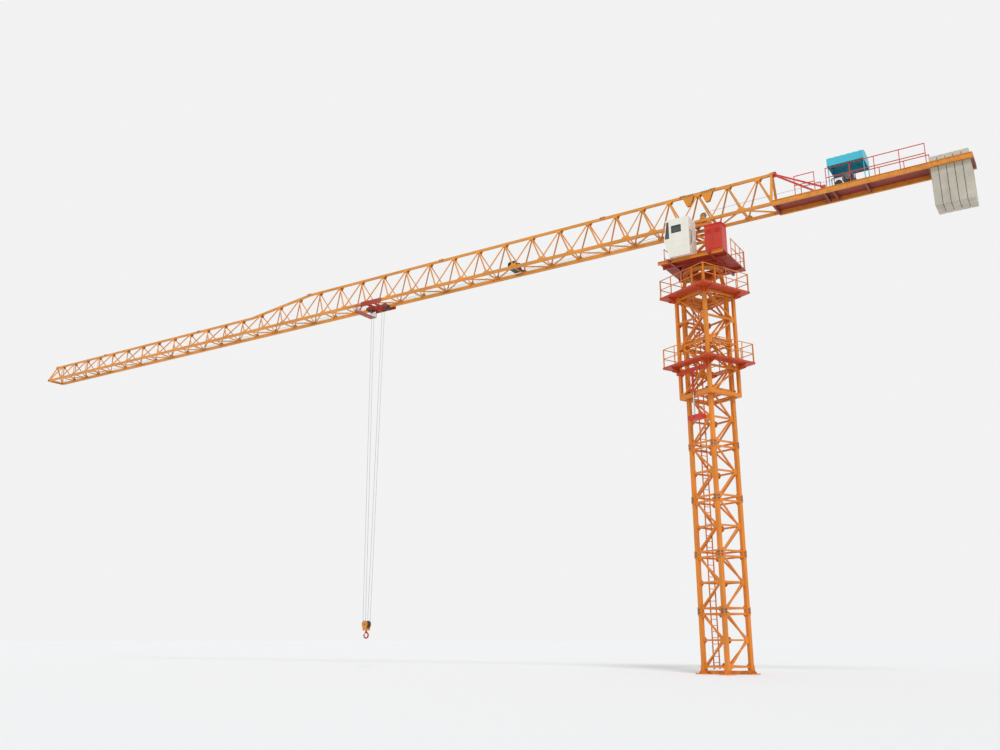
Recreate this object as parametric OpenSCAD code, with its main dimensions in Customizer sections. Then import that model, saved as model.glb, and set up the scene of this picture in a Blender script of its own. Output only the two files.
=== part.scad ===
// Flat-top tower crane, drawn at half its real size, in millimetres.
// The origin is on the underside of the base frame, at the mast's axis, with +Z up.
// The jib points along -X, the counter-jib along +X, and the operator's cab hangs on the -Y side.
// Distances along the jib are written as reach, measured from the mast's axis towards the tip.

/* [Base] */
// Height of the base frame, from the footing to the first mast section
base_h = 110; // [90:5:160]
// Side of each square foot plate
foot_w = 300; // [290:5:360]
// Thickness of each foot plate
foot_t = 24; // [16:2:40]
// Diameter of the circle of four anchor bolts on a foot plate
anchor_pcd = 250; // [230:5:260]
// Radius of an anchor bolt hole
anchor_r = 11; // [8:1:14]
// Width of the cross beams of the base
cross_w = 110; // [80:5:140]

/* [Mast] */
// Outer width of the square mast, over its corner posts
mast_w = 900; // [760:10:1100]
// Height of one mast section
section_h = 1400; // [1000:50:1800]
// Number of mast sections
section_n = 7; // [6:1:9]
// Width of a square corner post
post_w = 96; // [60:2:100]
// Width of the mast's lacing bars
lacing_w = 44; // [24:2:50]
// Bays of lacing in one mast section
section_bays = 2; // [1:1:4]
// Angle of the mast to the jib, as the crane stands
mast_turn = -25; // [-45:5:45]
// Clear width of the ladder inside the mast
ladder_w = 200; // [160:10:260]

/* [Climbing cage] */
// Outer width of the climbing cage
cage_w = 1150; // [1060:10:1300]
// Height of the climbing cage
cage_h = 2910; // [2400:50:3600]
// Width of a cage post
cage_post = 80; // [50:2:90]
// Outer width of the cage's walkways
walk_w = 1725; // [1600:25:1900]
// Height of the lower walkway above the foot of the cage
walk_rise = 905; // [700:25:1400]
// Height of every handrail above its floor
rail_h = 550; // [450:10:600]
// Diameter of the handrail tubes
rail_d = 18; // [14:1:26]

/* [Slewing unit] */
// Height of the fixed support between the mast and the slewing ring
support_h = 690; // [560:10:800]
// Outer radius of the fixed slewing ring
ring_r = 500; // [440:10:540]
// Radius of the turntable drum
drum_r = 600; // [590:5:620]
// Outer width of the turntable's walkway
table_w = 1850; // [1700:25:2100]
// Height from the turntable's floor to the underside of the jib
tower_h = 1162; // [1130:2:1400]

/* [Jib] */
// Distance between the two bottom chords, centre to centre
chord_gap = 650; // [600:10:760]
// Depth of the inner jib between chord centres
jib_depth = 1000; // [800:10:1200]
// Depth of the outer jib between chord centres
tip_depth = 665; // [560:5:780]
// Length of one lacing panel
panel_l = 1000; // [1000:10:1000]
// Width of a square bottom chord
chord_w = 76; // [60:2:90]
// Width of the top chord
top_w = 70; // [50:2:84]
// Width of the jib's lacing bars
web_w = 34; // [24:2:44]
// Half the length of the jib's head over the mast
head_l = 450; // [420:10:520]
// Reach of the jib's tip
jib_reach = 30500; // [29500:100:31000]

/* [Counter-jib] */
// Reach of the back end of the counter-jib's lattice
root_back = 2150; // [2000:50:2400]
// Reach of the back end of the counter-jib
deck_back = 7000; // [6600:50:7400]
// Outer width of the counter-jib's deck
deck_w = 730; // [700:10:800]
// Height of the deck's main beams
beam_h = 140; // [110:5:170]
// Thickness of the deck's main beams
beam_t = 50; // [40:2:70]
// Number of counterweight slabs
slab_n = 5; // [3:1:5]
// Thickness of a counterweight slab
slab_t = 170; // [130:5:175]
// Height of a counterweight slab below the beams' top
slab_drop = 1150; // [900:25:1300]

/* [Cab] */
// Length of the cab along the jib
cab_l = 725; // [660:5:760]
// Width of the cab
cab_w = 525; // [480:5:560]
// Height of the cab
cab_h = 1100; // [1000:10:1120]
// Thickness of the cab's walls
cab_wall = 20; // [12:1:30]
// Distance from the mast's axis to the cab's inner side
cab_side = 540; // [500:5:600]

/* [Trolley and hook] */
// Reach of the trolley as the crane stands
trolley_reach = 11700; // [4000:100:26000]
// Length of the trolley
trolley_l = 900; // [880:10:1100]
// Radius of the trolley's and the hook block's sheaves
sheave_r = 90; // [76:2:100]
// Height of the hook's seat above the footing
hook_z = 900; // [500:50:4000]
// Diameter of the hoist rope
rope_d = 8; // [6:1:10]
// Distance from the trolley's middle to the centre of each of its sheaves
sheave_x = 330; // [300:5:340]
// Inner radius of the hook's bowl
bowl_r = 61; // [50:1:70]
// Thickness of the hook
hook_t = 48; // [36:2:54]

/* [Hidden] */
$fn = 48;
gap = 0.3;
clear = 5;
plate_t = 12;
collar = 12;

mast_top = base_h + section_n * section_h;
cage_z = mast_top - cage_h;
ring_z = mast_top + support_h;
ring_h = 50;
ring_wall = 70;
table_z = ring_z + ring_h + 20;
table_h = 100;
floor_t = 30;
floor_z = table_z + table_h + floor_t;
drive_x = ring_r + 48;
jib_z = floor_z + tower_h + chord_w / 2;
top_z = jib_z + jib_depth;

section_2 = 3000;
section_3 = 9000;
section_4 = 15000;
taper_end = 18000;
section_5 = 21000;
section_6 = 27000;
head_gap = 0.5;

lug_l = 90;
lug_t = 14;
flange_t = 10;
flange_out = 30;
chord_y = chord_gap / 2;
chord_top = jib_z + chord_w / 2;
chord_foot = jib_z - chord_w / 2 - flange_t;

brace_z = jib_z + 2;

gusset_l = 340;
gusset_h = 310;
tip_wheel_r = 55;
tie_reach = 3500;
deck_top = jib_z + beam_h / 2;
deck_floor = deck_top - 10;
beam_y = deck_w / 2 - beam_t / 2;
winch_x = 4100;
drum_l = 320;
drum_core_r = 115;
drum_shaft_r = 26;
drum_axis_z = deck_floor + 230;
hood_l = 900;
hood_t = 8;

cab_x = -660;
cab_y = -cab_side - cab_w;
door_w = 300;
door_h = 900;
door_t = 16;
door_sill = 60;

wheel_r = 32;
wheel_w = 26;
wheel_z = jib_z - chord_w / 2 + wheel_r + gap;
wheel_y = chord_y + chord_w / 2 + clear;
frame_y = wheel_y + wheel_w + clear;
trolley_z = chord_foot - 30;
rope_z = chord_foot - rope_d / 2 + 6;
sheave_z = rope_z - rope_d / 2 - 1.5 - sheave_r;
sheave_w = 30;
sheave_rim = 12;
sheave_pin = 16;
fall_y = 60;
fall_top_x = sheave_x - sheave_r - rope_d / 2 - gap;
fall_low_x = sheave_r + rope_d / 2 + gap;
hook_r = bowl_r + hook_t / 2;
hook_c = hook_z + bowl_r;
shank_r = 22;
crosshead_z = hook_c + hook_r + hook_t / 2 + 30;
crosshead_h = 65;
block_z = crosshead_z + crosshead_h + sheave_r + 40;

YELLOW = [0.90, 0.55, 0.13];
RED = [0.72, 0.10, 0.08];
WHITE = [0.90, 0.90, 0.86];
BLACK = [0.10, 0.10, 0.11];
STEEL = [0.45, 0.46, 0.48];
CONCRETE = [0.62, 0.60, 0.55];
GLASS = [0.20, 0.30, 0.34];
TURQUOISE = [0.25, 0.72, 0.80];

// Square bar from one point to another.
module bar(a, b, t) {
    v = b - a;
    l = norm(v);
    translate(a)
        rotate([0, acos(v.z / l), atan2(v.y, v.x)])
            translate([-t / 2, -t / 2, 0])
                cube([t, t, l]);
}

// Round bar from one point to another.
module rod(a, b, d, sides = 24) {
    v = b - a;
    translate(a)
        rotate([0, acos(v.z / norm(v)), atan2(v.y, v.x)])
            cylinder(h = norm(v), d = d, $fn = sides);
}

// A bar that runs a little past both of its nodes, for a lattice that is trimmed afterwards.
module long_bar(a, b, t, past) {
    u = (b - a) / norm(b - a);
    bar(a - u * past, b + u * past, t);
}

// Box from its lowest to its highest corner.
module block(lo, hi) {
    translate(lo)
        cube(hi - lo);
}

// Flat lacing in the XZ plane between two uprights: level bars with one sloping bar in each bay.
module lacing(w, z0, h, bays, t) {
    step = (h - t) / bays;
    node_x = w / 2 - t;
    for (i = [0:bays])
        block([-w / 2, -t / 2, z0 + i * step], [w / 2, t / 2, z0 + i * step + t]);
    for (i = [0:bays - 1]) {
        side = i % 2 == 0 ? 1 : -1;
        bar([-side * node_x, 0, z0 + t / 2 + i * step], [side * node_x, 0, z0 + t / 2 + (i + 1) * step], t - 4);
    }
}

// One flat side of a square lattice, with its two corner posts and the thicker ends they are bolted at.
module posted_side(w, y, z0, h, post, bays, t, collar) {
    translate([0, y, 0]) {
        lacing(w - post, z0 + post / 2, h - post, bays, t);
        for (sx = [-1, 1]) {
            block([sx * (w - post) / 2 - post / 2, -post / 2, z0],
                  [sx * (w - post) / 2 + post / 2, post / 2, z0 + h]);
            for (z = [z0, z0 + h - post])
                if (collar > 0)
                    block([sx * (w - post) / 2 - post / 2 - collar, -post / 2 - collar, z],
                          [sx * (w - post) / 2 + post / 2 + collar, post / 2 + collar, z + post]);
        }
    }
}

// Square lattice made of four flat sides: two carry the posts, and the other two fit between them.
module lattice_box(w, z0, h, post, bays, t, collar) {
    inner = w - 2 * post - 2 * collar - 2 * gap;
    for (sy = [-1, 1])
        posted_side(w, sy * (w - post) / 2, z0, h, post, bays, t, collar);
    for (sx = [-1, 1])
        translate([sx * (w - post) / 2, 0, 0])
            rotate([0, 0, 90])
                lacing(inner, z0 + post / 2, h - post, bays, t);
}

// Handrail in the XZ plane, from x = 0 to l: two rails on posts.
module handrail(l, posts) {
    for (z = [rail_h / 2, rail_h - rail_d / 2])
        block([0, -rail_d / 2, z - rail_d / 2], [l, rail_d / 2, z + rail_d / 2]);
    for (i = [0:posts - 1])
        block([i * (l - rail_d) / (posts - 1), -rail_d / 2, 0],
              [i * (l - rail_d) / (posts - 1) + rail_d, rail_d / 2, rail_h]);
}

// Base frame: four foot plates with anchor bolt holes, joined by two crossed beams, with a stub for each post.
module base_frame() {
    foot_at = (mast_w - post_w) / 2;
    stub = post_w + 2 * collar;
    color(YELLOW)
        rotate([0, 0, mast_turn])
            difference() {
                union() {
                    for (a = [45, 135])
                        rotate([0, 0, a])
                            block([-foot_at * sqrt(2), -cross_w / 2, 0], [foot_at * sqrt(2), cross_w / 2, base_h - foot_t]);
                    for (sx = [-1, 1], sy = [-1, 1])
                        translate([sx * foot_at, sy * foot_at, 0]) {
                            block([-foot_w / 2, -foot_w / 2, 0], [foot_w / 2, foot_w / 2, foot_t]);
                            block([-stub / 2, -stub / 2, 0], [stub / 2, stub / 2, base_h]);
                        }
                }
                for (sx = [-1, 1], sy = [-1, 1], a = [0, 90, 180, 270])
                    translate([sx * foot_at, sy * foot_at, -1])
                        rotate([0, 0, a])
                            translate([anchor_pcd / 2, 0, 0])
                                cylinder(h = foot_t + 2, r = anchor_r, $fn = 24);
            }
}

// One section of the mast, counted from the ground.
module mast_section(i) {
    color(YELLOW)
        rotate([0, 0, mast_turn])
            lattice_box(mast_w, base_h + (i - 1) * section_h, section_h, post_w, section_bays, lacing_w, collar);
}

// Ladder inside the mast, carried on the level bars of one side.
module mast_ladder() {
    stile = 16;
    pitch = 150;
    x = -(mast_w - post_w) / 2 + lacing_w / 2 + gap;
    color(YELLOW)
        rotate([0, 0, mast_turn]) {
            for (sy = [-1, 1])
                block([x, sy * ladder_w / 2 - stile / 2, base_h], [x + 2 * stile, sy * ladder_w / 2 + stile / 2, mast_top]);
            for (z = [base_h + pitch:pitch:mast_top - pitch / 2])
                block([x + stile / 2, -ladder_w / 2, z], [x + stile * 3 / 2, ladder_w / 2, z + stile]);
        }
}

// Climbing cage round the top of the mast: three laced sides, and one left open for a new section.
module climbing_cage() {
    beam = 100;
    lace = 46;
    lean = cage_w - 2 * cage_post - 2 * gap;
    side_y = (cage_w - cage_post) / 2;
    color(YELLOW)
        rotate([0, 0, mast_turn]) {
            for (sx = [-1, 1])
                rotate([0, 0, 90]) {
                    posted_side(cage_w, sx * side_y, cage_z, cage_h, cage_post, 4, lace, 0);
                    block([-cage_w / 2 + cage_post, sx * side_y - cage_post / 2, cage_z],
                          [cage_w / 2 - cage_post, sx * side_y + cage_post / 2, cage_z + beam]);
                }
            translate([0, -side_y, 0]) {
                lacing(lean, cage_z + beam - 20, cage_h - beam - cage_post / 2, 4, lace);
                block([-lean / 2, -cage_post / 2, cage_z], [lean / 2, cage_post / 2, cage_z + beam]);
            }
            for (z = [cage_z, mast_top - beam])
                block([-lean / 2, side_y - cage_post / 2, z], [lean / 2, side_y + cage_post / 2, z + beam]);
        }
}

// Four floor panels that make a square walkway round the cage, each on two brackets, with a toe board.
module walkway_ring(z) {
    half = walk_w / 2;
    inner = cage_w / 2 + gap;
    panel_t = 16;
    drop = 150;
    toe_t = 12;
    toe_h = 40;
    for (a = [0, 90, 180, 270])
        rotate([0, 0, a]) {
            block([inner, -inner + gap, z - panel_t], [half, half, z]);
            block([half - toe_t, -inner + gap, z - panel_t], [half, half, z + toe_h]);
            block([half - toe_t, -half + toe_t + gap, z + gap], [half, -inner + 2 * gap, z + toe_h]);
            for (y = [-1, 1] * (cage_w - cage_post) / 2)
                translate([0, y + 10, 0])
                    rotate([90, 0, 0])
                        linear_extrude(20)
                            polygon([[inner, z - drop], [inner + 14, z - drop], [half - 20, z - 40],
                                     [half - 20, z - panel_t], [inner, z - panel_t]]);
        }
}

// The two red walkways of the climbing cage.
module cage_walkways() {
    color(RED)
        rotate([0, 0, mast_turn])
            for (z = [cage_z + walk_rise, mast_top])
                walkway_ring(z);
}

// Handrails of both cage walkways, a separate fence for each side.
module cage_railings() {
    l = walk_w - 2 * rail_d - 2 * gap;
    color(YELLOW)
        rotate([0, 0, mast_turn])
            for (z = [cage_z + walk_rise, mast_top], a = [0, 90, 180, 270])
                rotate([0, 0, a])
                    translate([-l / 2, walk_w / 2 - 12 - rail_d / 2 - gap, z + gap])
                        handrail(l - rail_d, 5);
}

// Hydraulic climbing ram outside one face of the cage, with the crosshead that steps up the mast.
module climbing_ram() {
    tube_r = 33;
    y = -(cage_w / 2 + tube_r + 7);
    face = -(mast_w - post_w) / 2 - lacing_w / 2 - gap;
    foot = cage_z - 620;
    hanger_z = cage_z + walk_rise - 230;
    color(RED)
        rotate([0, 0, mast_turn]) {
            block([-230, y - 30, foot], [230, face, foot + 110]);
            rod([0, y, foot + 100], [0, y, cage_z + 60], 40);
            rod([0, y, cage_z + 50], [0, y, hanger_z + 60], 2 * tube_r);
            block([-cage_w / 2 + 5, y - 33, hanger_z], [cage_w / 2 - 5, -cage_w / 2 - gap, hanger_z + 70]);
        }
}

// Fixed support of the slewing ring: a square frame on the mast's posts, four legs, and a round seat.
module slewing_support() {
    seat_h = 80;
    frame_h = 90;
    leg = 100;
    low = (mast_w - post_w) / 2;
    high = ring_r * 0.66;
    color(YELLOW)
        difference() {
            union() {
                rotate([0, 0, mast_turn]) {
                    difference() {
                        block([-cage_w / 2, -cage_w / 2, mast_top], [cage_w / 2, cage_w / 2, mast_top + frame_h]);
                        block([-low + post_w / 2, -low + post_w / 2, mast_top - 1],
                              [low - post_w / 2, low - post_w / 2, mast_top + frame_h + 1]);
                    }
                    for (sx = [-1, 1], sy = [-1, 1])
                        bar([sx * low, sy * low, mast_top + frame_h - 20], [sx * high, sy * high, ring_z - seat_h + 30], leg);
                    for (a = [0, 90, 180, 270])
                        rotate([0, 0, a])
                            bar([low, 0, mast_top + frame_h - 10], [ring_r - 60, 0, ring_z - seat_h + 20], 60);
                }
                translate([0, 0, ring_z - seat_h])
                    cylinder(h = seat_h, r = ring_r + 30);
                translate([0, 0, ring_z])
                    cylinder(h = ring_h, r = ring_r);
            }
            translate([0, 0, ring_z - seat_h - 1])
                cylinder(h = seat_h + ring_h + 2, r = ring_r - ring_wall);
        }
}

// Turntable: the inner bearing ring, the drum on it, the beams of its walkway and two drive pinions.
module turntable() {
    bearing_r = ring_r - ring_wall - gap;
    pinion_r = 42;
    beam_low = table_z + table_h - 70;
    half = table_w / 2;
    at = drum_r - 60;
    color(RED)
        difference() {
            union() {
                translate([0, 0, ring_z + clear])
                    cylinder(h = table_z - ring_z - clear + 1, r = bearing_r);
                translate([0, 0, table_z])
                    cylinder(h = table_h, r = drum_r);
                for (x = [-at - 60, at])
                    block([x, cab_y, beam_low], [x + 60, half, table_z + table_h]);
                for (y = [-at - 60, at])
                    block([-half, y, beam_low], [half, y + 60, table_z + table_h]);
                for (sx = [-1, 1])
                    translate([sx * drive_x, 0, ring_z + clear])
                        cylinder(h = table_z - ring_z, r = pinion_r);
            }
            translate([0, 0, ring_z])
                cylinder(h = table_h * 3, r = bearing_r - 60);
        }
}

// Floor panels of the turntable's walkway.
module turntable_walkway() {
    half = table_w / 2;
    ix = head_l + 20;
    iy = chord_y + 65;
    z = floor_z - floor_t;
    color(RED) {
        for (sx = [-1, 1])
            block([sx > 0 ? ix + gap : -half, -half, z], [sx > 0 ? half : -ix - gap, half, floor_z]);
        block([-ix, -half, z], [ix, -iy, floor_z]);
        block([-ix, iy, z], [ix, half, floor_z]);
    }
}

// Handrails round the turntable's walkway, left open where the cab and the cabinet stand.
module turntable_railing() {
    half = table_w / 2 - rail_d;
    color(YELLOW)
        translate([0, 0, floor_z + gap]) {
            translate([half, -half + 700, 0])
                rotate([0, 0, 90])
                    handrail(half * 2 - 700, 4);
            translate([-half, half, 0])
                handrail(half * 2 - rail_d, 5);
            translate([-half, -cab_side + 40, 0])
                rotate([0, 0, 90])
                    handrail(half + cab_side - 40 - rail_d, 4);
        }
}

// Two upright slewing motors on their gearboxes.
module slewing_motors() {
    color(BLACK)
        for (sx = [-1, 1])
            translate([sx * drive_x, 0, floor_z + gap]) {
                cylinder(h = 30, r = 90);
                cylinder(h = 230, r = 76);
                cylinder(h = 430, r = 60);
                translate([0, 0, 430])
                    cylinder(h = 40, r = 66);
            }
}

// Slewing tower: four posts and their lacing between the turntable and the jib's head.
module slewing_tower() {
    post = 90;
    lace = 64;
    z0 = floor_z - floor_t;
    h = tower_h + floor_t;
    x = head_l - post / 2;
    color(YELLOW) {
        for (sy = [-1, 1])
            translate([0, sy * chord_y, 0]) {
                lacing(2 * x, z0 + 60, h - 120, 2, lace);
                for (sx = [-1, 1])
                    block([sx * x - post / 2, -post / 2, z0], [sx * x + post / 2, post / 2, z0 + h]);
            }
        for (sx = [-1, 1])
            translate([sx * x, 0, 0])
                rotate([0, 0, 90])
                    lacing(chord_gap - post - 2 * gap, z0 + 60, h - 120, 2, lace);
    }
}

// Side outline of the cab, from its rear foot, with the raked windscreen at the front.
function cab_outline() = [[cab_l, 0], [cab_l, cab_h], [85, cab_h], [0, cab_h * 0.47], [130, 0]];

module cab_profile(inset, y0, y1) {
    translate([cab_x, y1, floor_z])
        rotate([90, 0, 0])
            linear_extrude(y1 - y0)
                offset(delta = -inset)
                    polygon(cab_outline());
}

// Outline of the narrow pane behind each front corner of the cab, its front edge along the raked corner.
function quarter_pane(trim) =
    let (lo = cab_h * 0.51 + trim, hi = cab_h - 70 - trim, rake = 85 / (cab_h * 0.53))
    [[30 + trim + rake * (lo - cab_h * 0.47), lo], [150 - trim, lo],
     [150 - trim, hi], [30 + trim + rake * (hi - cab_h * 0.47), hi]];

// Openings of the cab: windscreen, the pane below it, the narrow panes beside it and both side windows.
module cab_openings(trim) {
    y0 = cab_y + 50 + trim;
    y1 = cab_y + cab_w - 50 - trim;
    translate([0, y1, 0])
        rotate([90, 0, 0])
            linear_extrude(y1 - y0)
                polygon([[cab_x - 60, floor_z + cab_h * 0.51 + trim], [cab_x + 200, floor_z + cab_h * 0.51 + trim],
                         [cab_x + 200, floor_z + cab_h - 70 - trim], [cab_x - 60, floor_z + cab_h - 70 - trim]]);
    block([cab_x - 60, y0, floor_z + 90 + trim], [cab_x + 200, y1, floor_z + cab_h * 0.43 - trim]);
    for (y = [cab_y + 60, cab_y + cab_w + 30])
        translate([cab_x, y, floor_z])
            rotate([90, 0, 0])
                linear_extrude(90)
                    polygon(quarter_pane(trim));
    block([cab_x + 230 + trim, cab_y - 30, floor_z + 700 + trim], [cab_x + 500 - trim, cab_y + 60, floor_z + 900 - trim]);
    block([cab_x + 180 + trim, cab_y + cab_w - 60, floor_z + 480 + trim], [cab_x + 600 - trim, cab_y + cab_w + 30, floor_z + 980 - trim]);
}

// Hollow cab with its window openings and a doorway.
module cab_shell() {
    rear = cab_x + cab_l;
    color(WHITE)
        difference() {
            cab_profile(0, cab_y, cab_y + cab_w);
            cab_profile(cab_wall, cab_y + cab_wall, cab_y + cab_w - cab_wall);
            cab_openings(0);
            block([rear - 2 * cab_wall, cab_y + 100, floor_z + door_sill],
                  [rear + 10, cab_y + 100 + door_w, floor_z + door_sill + door_h]);
        }
}

// Panes of glass in the cab's window openings.
module cab_windows() {
    pane = 8;
    color(GLASS)
        intersection() {
            difference() {
                cab_profile(6, cab_y + 6, cab_y + cab_w - 6);
                cab_profile(6 + pane, cab_y + 6 + pane, cab_y + cab_w - 6 - pane);
            }
            cab_openings(gap);
        }
}

// Hinged door in the cab's rear wall.
module cab_door() {
    rear = cab_x + cab_l;
    z0 = floor_z + door_sill + gap;
    y0 = cab_y + 100 + gap;
    color(WHITE)
        difference() {
            union() {
                block([rear - door_t, y0, z0], [rear, y0 + door_w - 2 * gap, z0 + door_h - 2 * gap]);
                block([rear, y0 + door_w - 60, z0 + 400], [rear + 26, y0 + door_w - 40, z0 + 520]);
            }
            block([rear + 6, y0 + door_w - 70, z0 + 420], [rear + 16, y0 + door_w - 30, z0 + 500]);
        }
}

// Red electrical cabinet on the walkway, behind the cab.
module control_cabinet() {
    lo = [440, -table_w / 2 + 20, floor_z];
    hi = [1035 - 120, -chord_y - 200, floor_z + 750];
    color(RED) {
        block(lo, hi);
        block([lo.x - 14, lo.y - 14, hi.z], [hi.x + 14, hi.y + 14, hi.z + 22]);
    }
}

// Depth of the jib between its chords at a reach.
function depth_at(s) =
    s <= section_4 ? jib_depth :
    s >= taper_end ? tip_depth :
    jib_depth + (tip_depth - jib_depth) * (s - section_4) / (taper_end - section_4);

// Height of the underside of the top chord at a reach.
function web_top(s) = jib_z + depth_at(s) - top_w / 2;

// Reaches at which the top chord of a length of jib starts, bends and ends.
function knots(s0, s1) = s0 < taper_end && s1 > taper_end ? [s0, taper_end, s1] : [s0, s1];

// Region between the bottom chords' top and the top chord's underside.
module web_region(s0, s1, y0, y1) {
    translate([0, y1, 0])
        rotate([90, 0, 0])
            linear_extrude(y1 - y0)
                polygon(concat([[-s1, chord_top + gap], [-s0, chord_top + gap]],
                               [for (s = knots(s0, s1)) [-s, web_top(s) - gap]]));
}

// Top chord of a length of jib, bent where the taper ends.
module top_chord(s0, s1) {
    k = knots(s0, s1);
    translate([0, top_w / 2, 0])
        rotate([90, 0, 0])
            linear_extrude(top_w)
                polygon(concat([for (s = k) [-s, web_top(s)]],
                               [for (i = [1:len(k)]) [-k[len(k) - i], web_top(k[len(k) - i]) + top_w]]));
}

// Zigzag lacing of one side, its nodes on the chords' faces, with a post at each stated end.
module web_bars(s0, s1, side, past) {
    panels = max(1, round((s1 - s0) / panel_l));
    step = (s1 - s0) / panels;
    foot = side * (chord_y - 8);
    peak = side * (web_w / 2 + 13);
    for (i = [0:panels - 1]) {
        a = s0 + i * step;
        m = a + step / 2;
        low_0 = max(a, s0 + web_w / 2);
        low_1 = min(a + step, s1 - web_w / 2);
        long_bar([-low_0, foot, chord_top], [-m, peak, web_top(m)], web_w, past);
        long_bar([-m, peak, web_top(m)], [-low_1, foot, chord_top], web_w, past);
    }
}

// Flat bottom frame of a length of jib: two chords with trolley rails, and bracing between them.
module bottom_frame(s0, s1, rails) {
    panels = max(1, round((s1 - s0) / panel_l));
    step = (s1 - s0) / panels;
    for (sy = [-1, 1]) {
        block([-s1, sy * chord_y - chord_w / 2, jib_z - chord_w / 2],
              [-s0, sy * chord_y + chord_w / 2, chord_top]);
        if (rails) {
            inner = sy * (chord_y - chord_w / 2);
            outer = sy * (chord_y + chord_w / 2 + flange_out);
            block([-s1, min(inner, outer), chord_foot], [-s0, max(inner, outer), jib_z - chord_w / 2]);
        }
        for (s = [s0, s1 - lug_l]) {
            inner = sy * (chord_y - chord_w / 2 - lug_t);
            outer = sy * chord_y;
            block([-s - lug_l, min(inner, outer), jib_z - 30], [-s, max(inner, outer), jib_z + 30]);
        }
    }
    for (i = [0:panels]) {
        s = min(max(s0 + i * step, s0 + web_w / 2), s1 - web_w / 2);
        block([-s - web_w / 2, -chord_y, brace_z], [-s + web_w / 2, chord_y, brace_z + web_w]);
    }
    for (i = [0:panels - 1]) {
        side = i % 2 == 0 ? 1 : -1;
        bar([-(s0 + i * step) - web_w / 2, side * chord_y, brace_z + web_w / 2],
            [-(s0 + (i + 1) * step) + web_w / 2, -side * chord_y, brace_z + web_w / 2], web_w);
    }
}

// Top chord with one laced side fused to it, and the thicker ends where sections are pinned together.
module chord_side(s0, s1) {
    intersection() {
        union() {
            top_chord(s0, s1);
            for (s = [s0, s1 - lug_l])
                block([-s - lug_l, -top_w / 2 - lug_t, jib_z + depth_at(s) - 30],
                      [-s, top_w / 2 + lug_t, jib_z + depth_at(s) + top_w / 2 + lug_t]);
            web_bars(s0, s1, -1, web_w);
        }
        block([-s1, -chord_gap, chord_top + gap], [-s0, chord_gap, top_z + top_w * 2]);
    }
}

// The other laced side, which lies free between the chords.
module free_side(s0, s1) {
    intersection() {
        web_bars(s0, s1, 1, web_w);
        web_region(s0, s1, 0, chord_gap);
    }
}

// A length of jib, from one reach to another.
module jib_lattice(s0, s1, rails = true) {
    bottom_frame(s0, s1, rails);
    chord_side(s0, s1);
    free_side(s0, s1);
}

// Head of the jib over the slewing tower, with its heavy connection plates.
module jib_head() {
    a = -head_l + head_gap;
    b = head_l - head_gap;
    color(YELLOW) {
        bottom_frame(a, b, false);
        chord_side(a, b);
        free_side(a, b);
        for (x = [a + gusset_l / 2, b - gusset_l / 2])
            gussets(x);
    }
}

// Pair of triangular plates that stiffen the top chord over a post of the slewing tower.
module gussets(x) {
    for (sy = [-1, 1])
        translate([x, sy > 0 ? top_w / 2 + plate_t : -top_w / 2, top_z])
            rotate([90, 0, 0])
                linear_extrude(plate_t)
                    polygon([[-gusset_l / 2, top_w / 2], [gusset_l / 2, top_w / 2], [gusset_l / 2, -top_w / 2],
                             [gusset_l / 6, -gusset_h], [-gusset_l / 6, -gusset_h], [-gusset_l / 2, -top_w / 2]]);
}

// Frame that closes the jib's tip, with the two wheels that the ropes turn round.
module jib_end_frame() {
    s = jib_reach + gap;
    d = tip_depth;
    wheel_x = -s - tip_wheel_r - clear;
    color(YELLOW) {
        block([-s - 40, -chord_y - chord_w / 2, chord_foot], [-s, chord_y + chord_w / 2, chord_top]);
        for (sy = [-1, 1])
            bar([-s - 20, sy * chord_y, chord_top - 10], [-s - 20, 0, jib_z + d], 40);
        block([-s - 40, -50, jib_z + d - 50], [-s, 50, jib_z + d + 40]);
        for (sy = [-1, 1])
            translate([wheel_x, sy * 90, rope_z + 60])
                rotate([90, 0, 0])
                    cylinder(h = 24, r = tip_wheel_r, center = true);
        block([wheel_x - 20, -110, rope_z + 40], [-s - 30, 110, rope_z + 80]);
    }
}

// Ropes that run the length of the jib, for the trolley and for the hoist.
module jib_ropes() {
    color(STEEL)
        for (y = [-fall_y, fall_y])
            rod([-head_l + 20, y, rope_z], [-jib_reach, y, rope_z], rope_d, 12);
}

// Winch that hauls the trolley, on the jib's bottom frame.
module trolley_winch() {
    x = -6100;
    z = brace_z + web_w + gap;
    color(BLACK) {
        block([x - 170, -240, z], [x + 170, 240, z + 16]);
        for (y = [-190, 30])
            block([x - 130, y, z + 10], [x + 130, y + 30, z + 230]);
        translate([x, 50, z + 140])
            rotate([90, 0, 0])
                cylinder(h = 220, r = 90);
        translate([x, 220, z + 140])
            rotate([90, 0, 0])
                cylinder(h = 170, r = 70);
    }
}

// Lattice that carries the counter-jib behind the head, closed by two heavy end posts.
module counter_jib_root() {
    post = 60;
    x = root_back - post / 2;
    color(YELLOW) {
        jib_lattice(-root_back, -head_l, false);
        for (sy = [-1, 1])
            intersection() {
                bar([x, sy * (chord_y - 8), jib_z], [x, sy * (post / 2 + 2), top_z - top_w / 2], post);
                block([x - post, -deck_w, chord_top - 4], [root_back - 1, deck_w, top_z]);
            }
    }
}

// Red tie bars from the top of the lattice's end down to the deck, with the lugs they are pinned to.
module counter_jib_ties() {
    tie_w = 40;
    lug_h = 90;
    top = [root_back + 40, 0, top_z - 20];
    color(RED) {
        for (sy = [-1, 1])
            bar([top.x, sy * 34, top.z], [tie_reach, sy * beam_y, deck_top + lug_h / 2], tie_w);
        block([root_back + gap, -top_w / 2 - lug_t, top_z - 70], [root_back + 90, top_w / 2 + lug_t, top_z + 50]);
        for (sy = [-1, 1])
            block([tie_reach - 60, sy * beam_y - beam_t / 2, deck_top + gap],
                  [tie_reach + 60, sy * beam_y + beam_t / 2, deck_top + lug_h]);
    }
}

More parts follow.
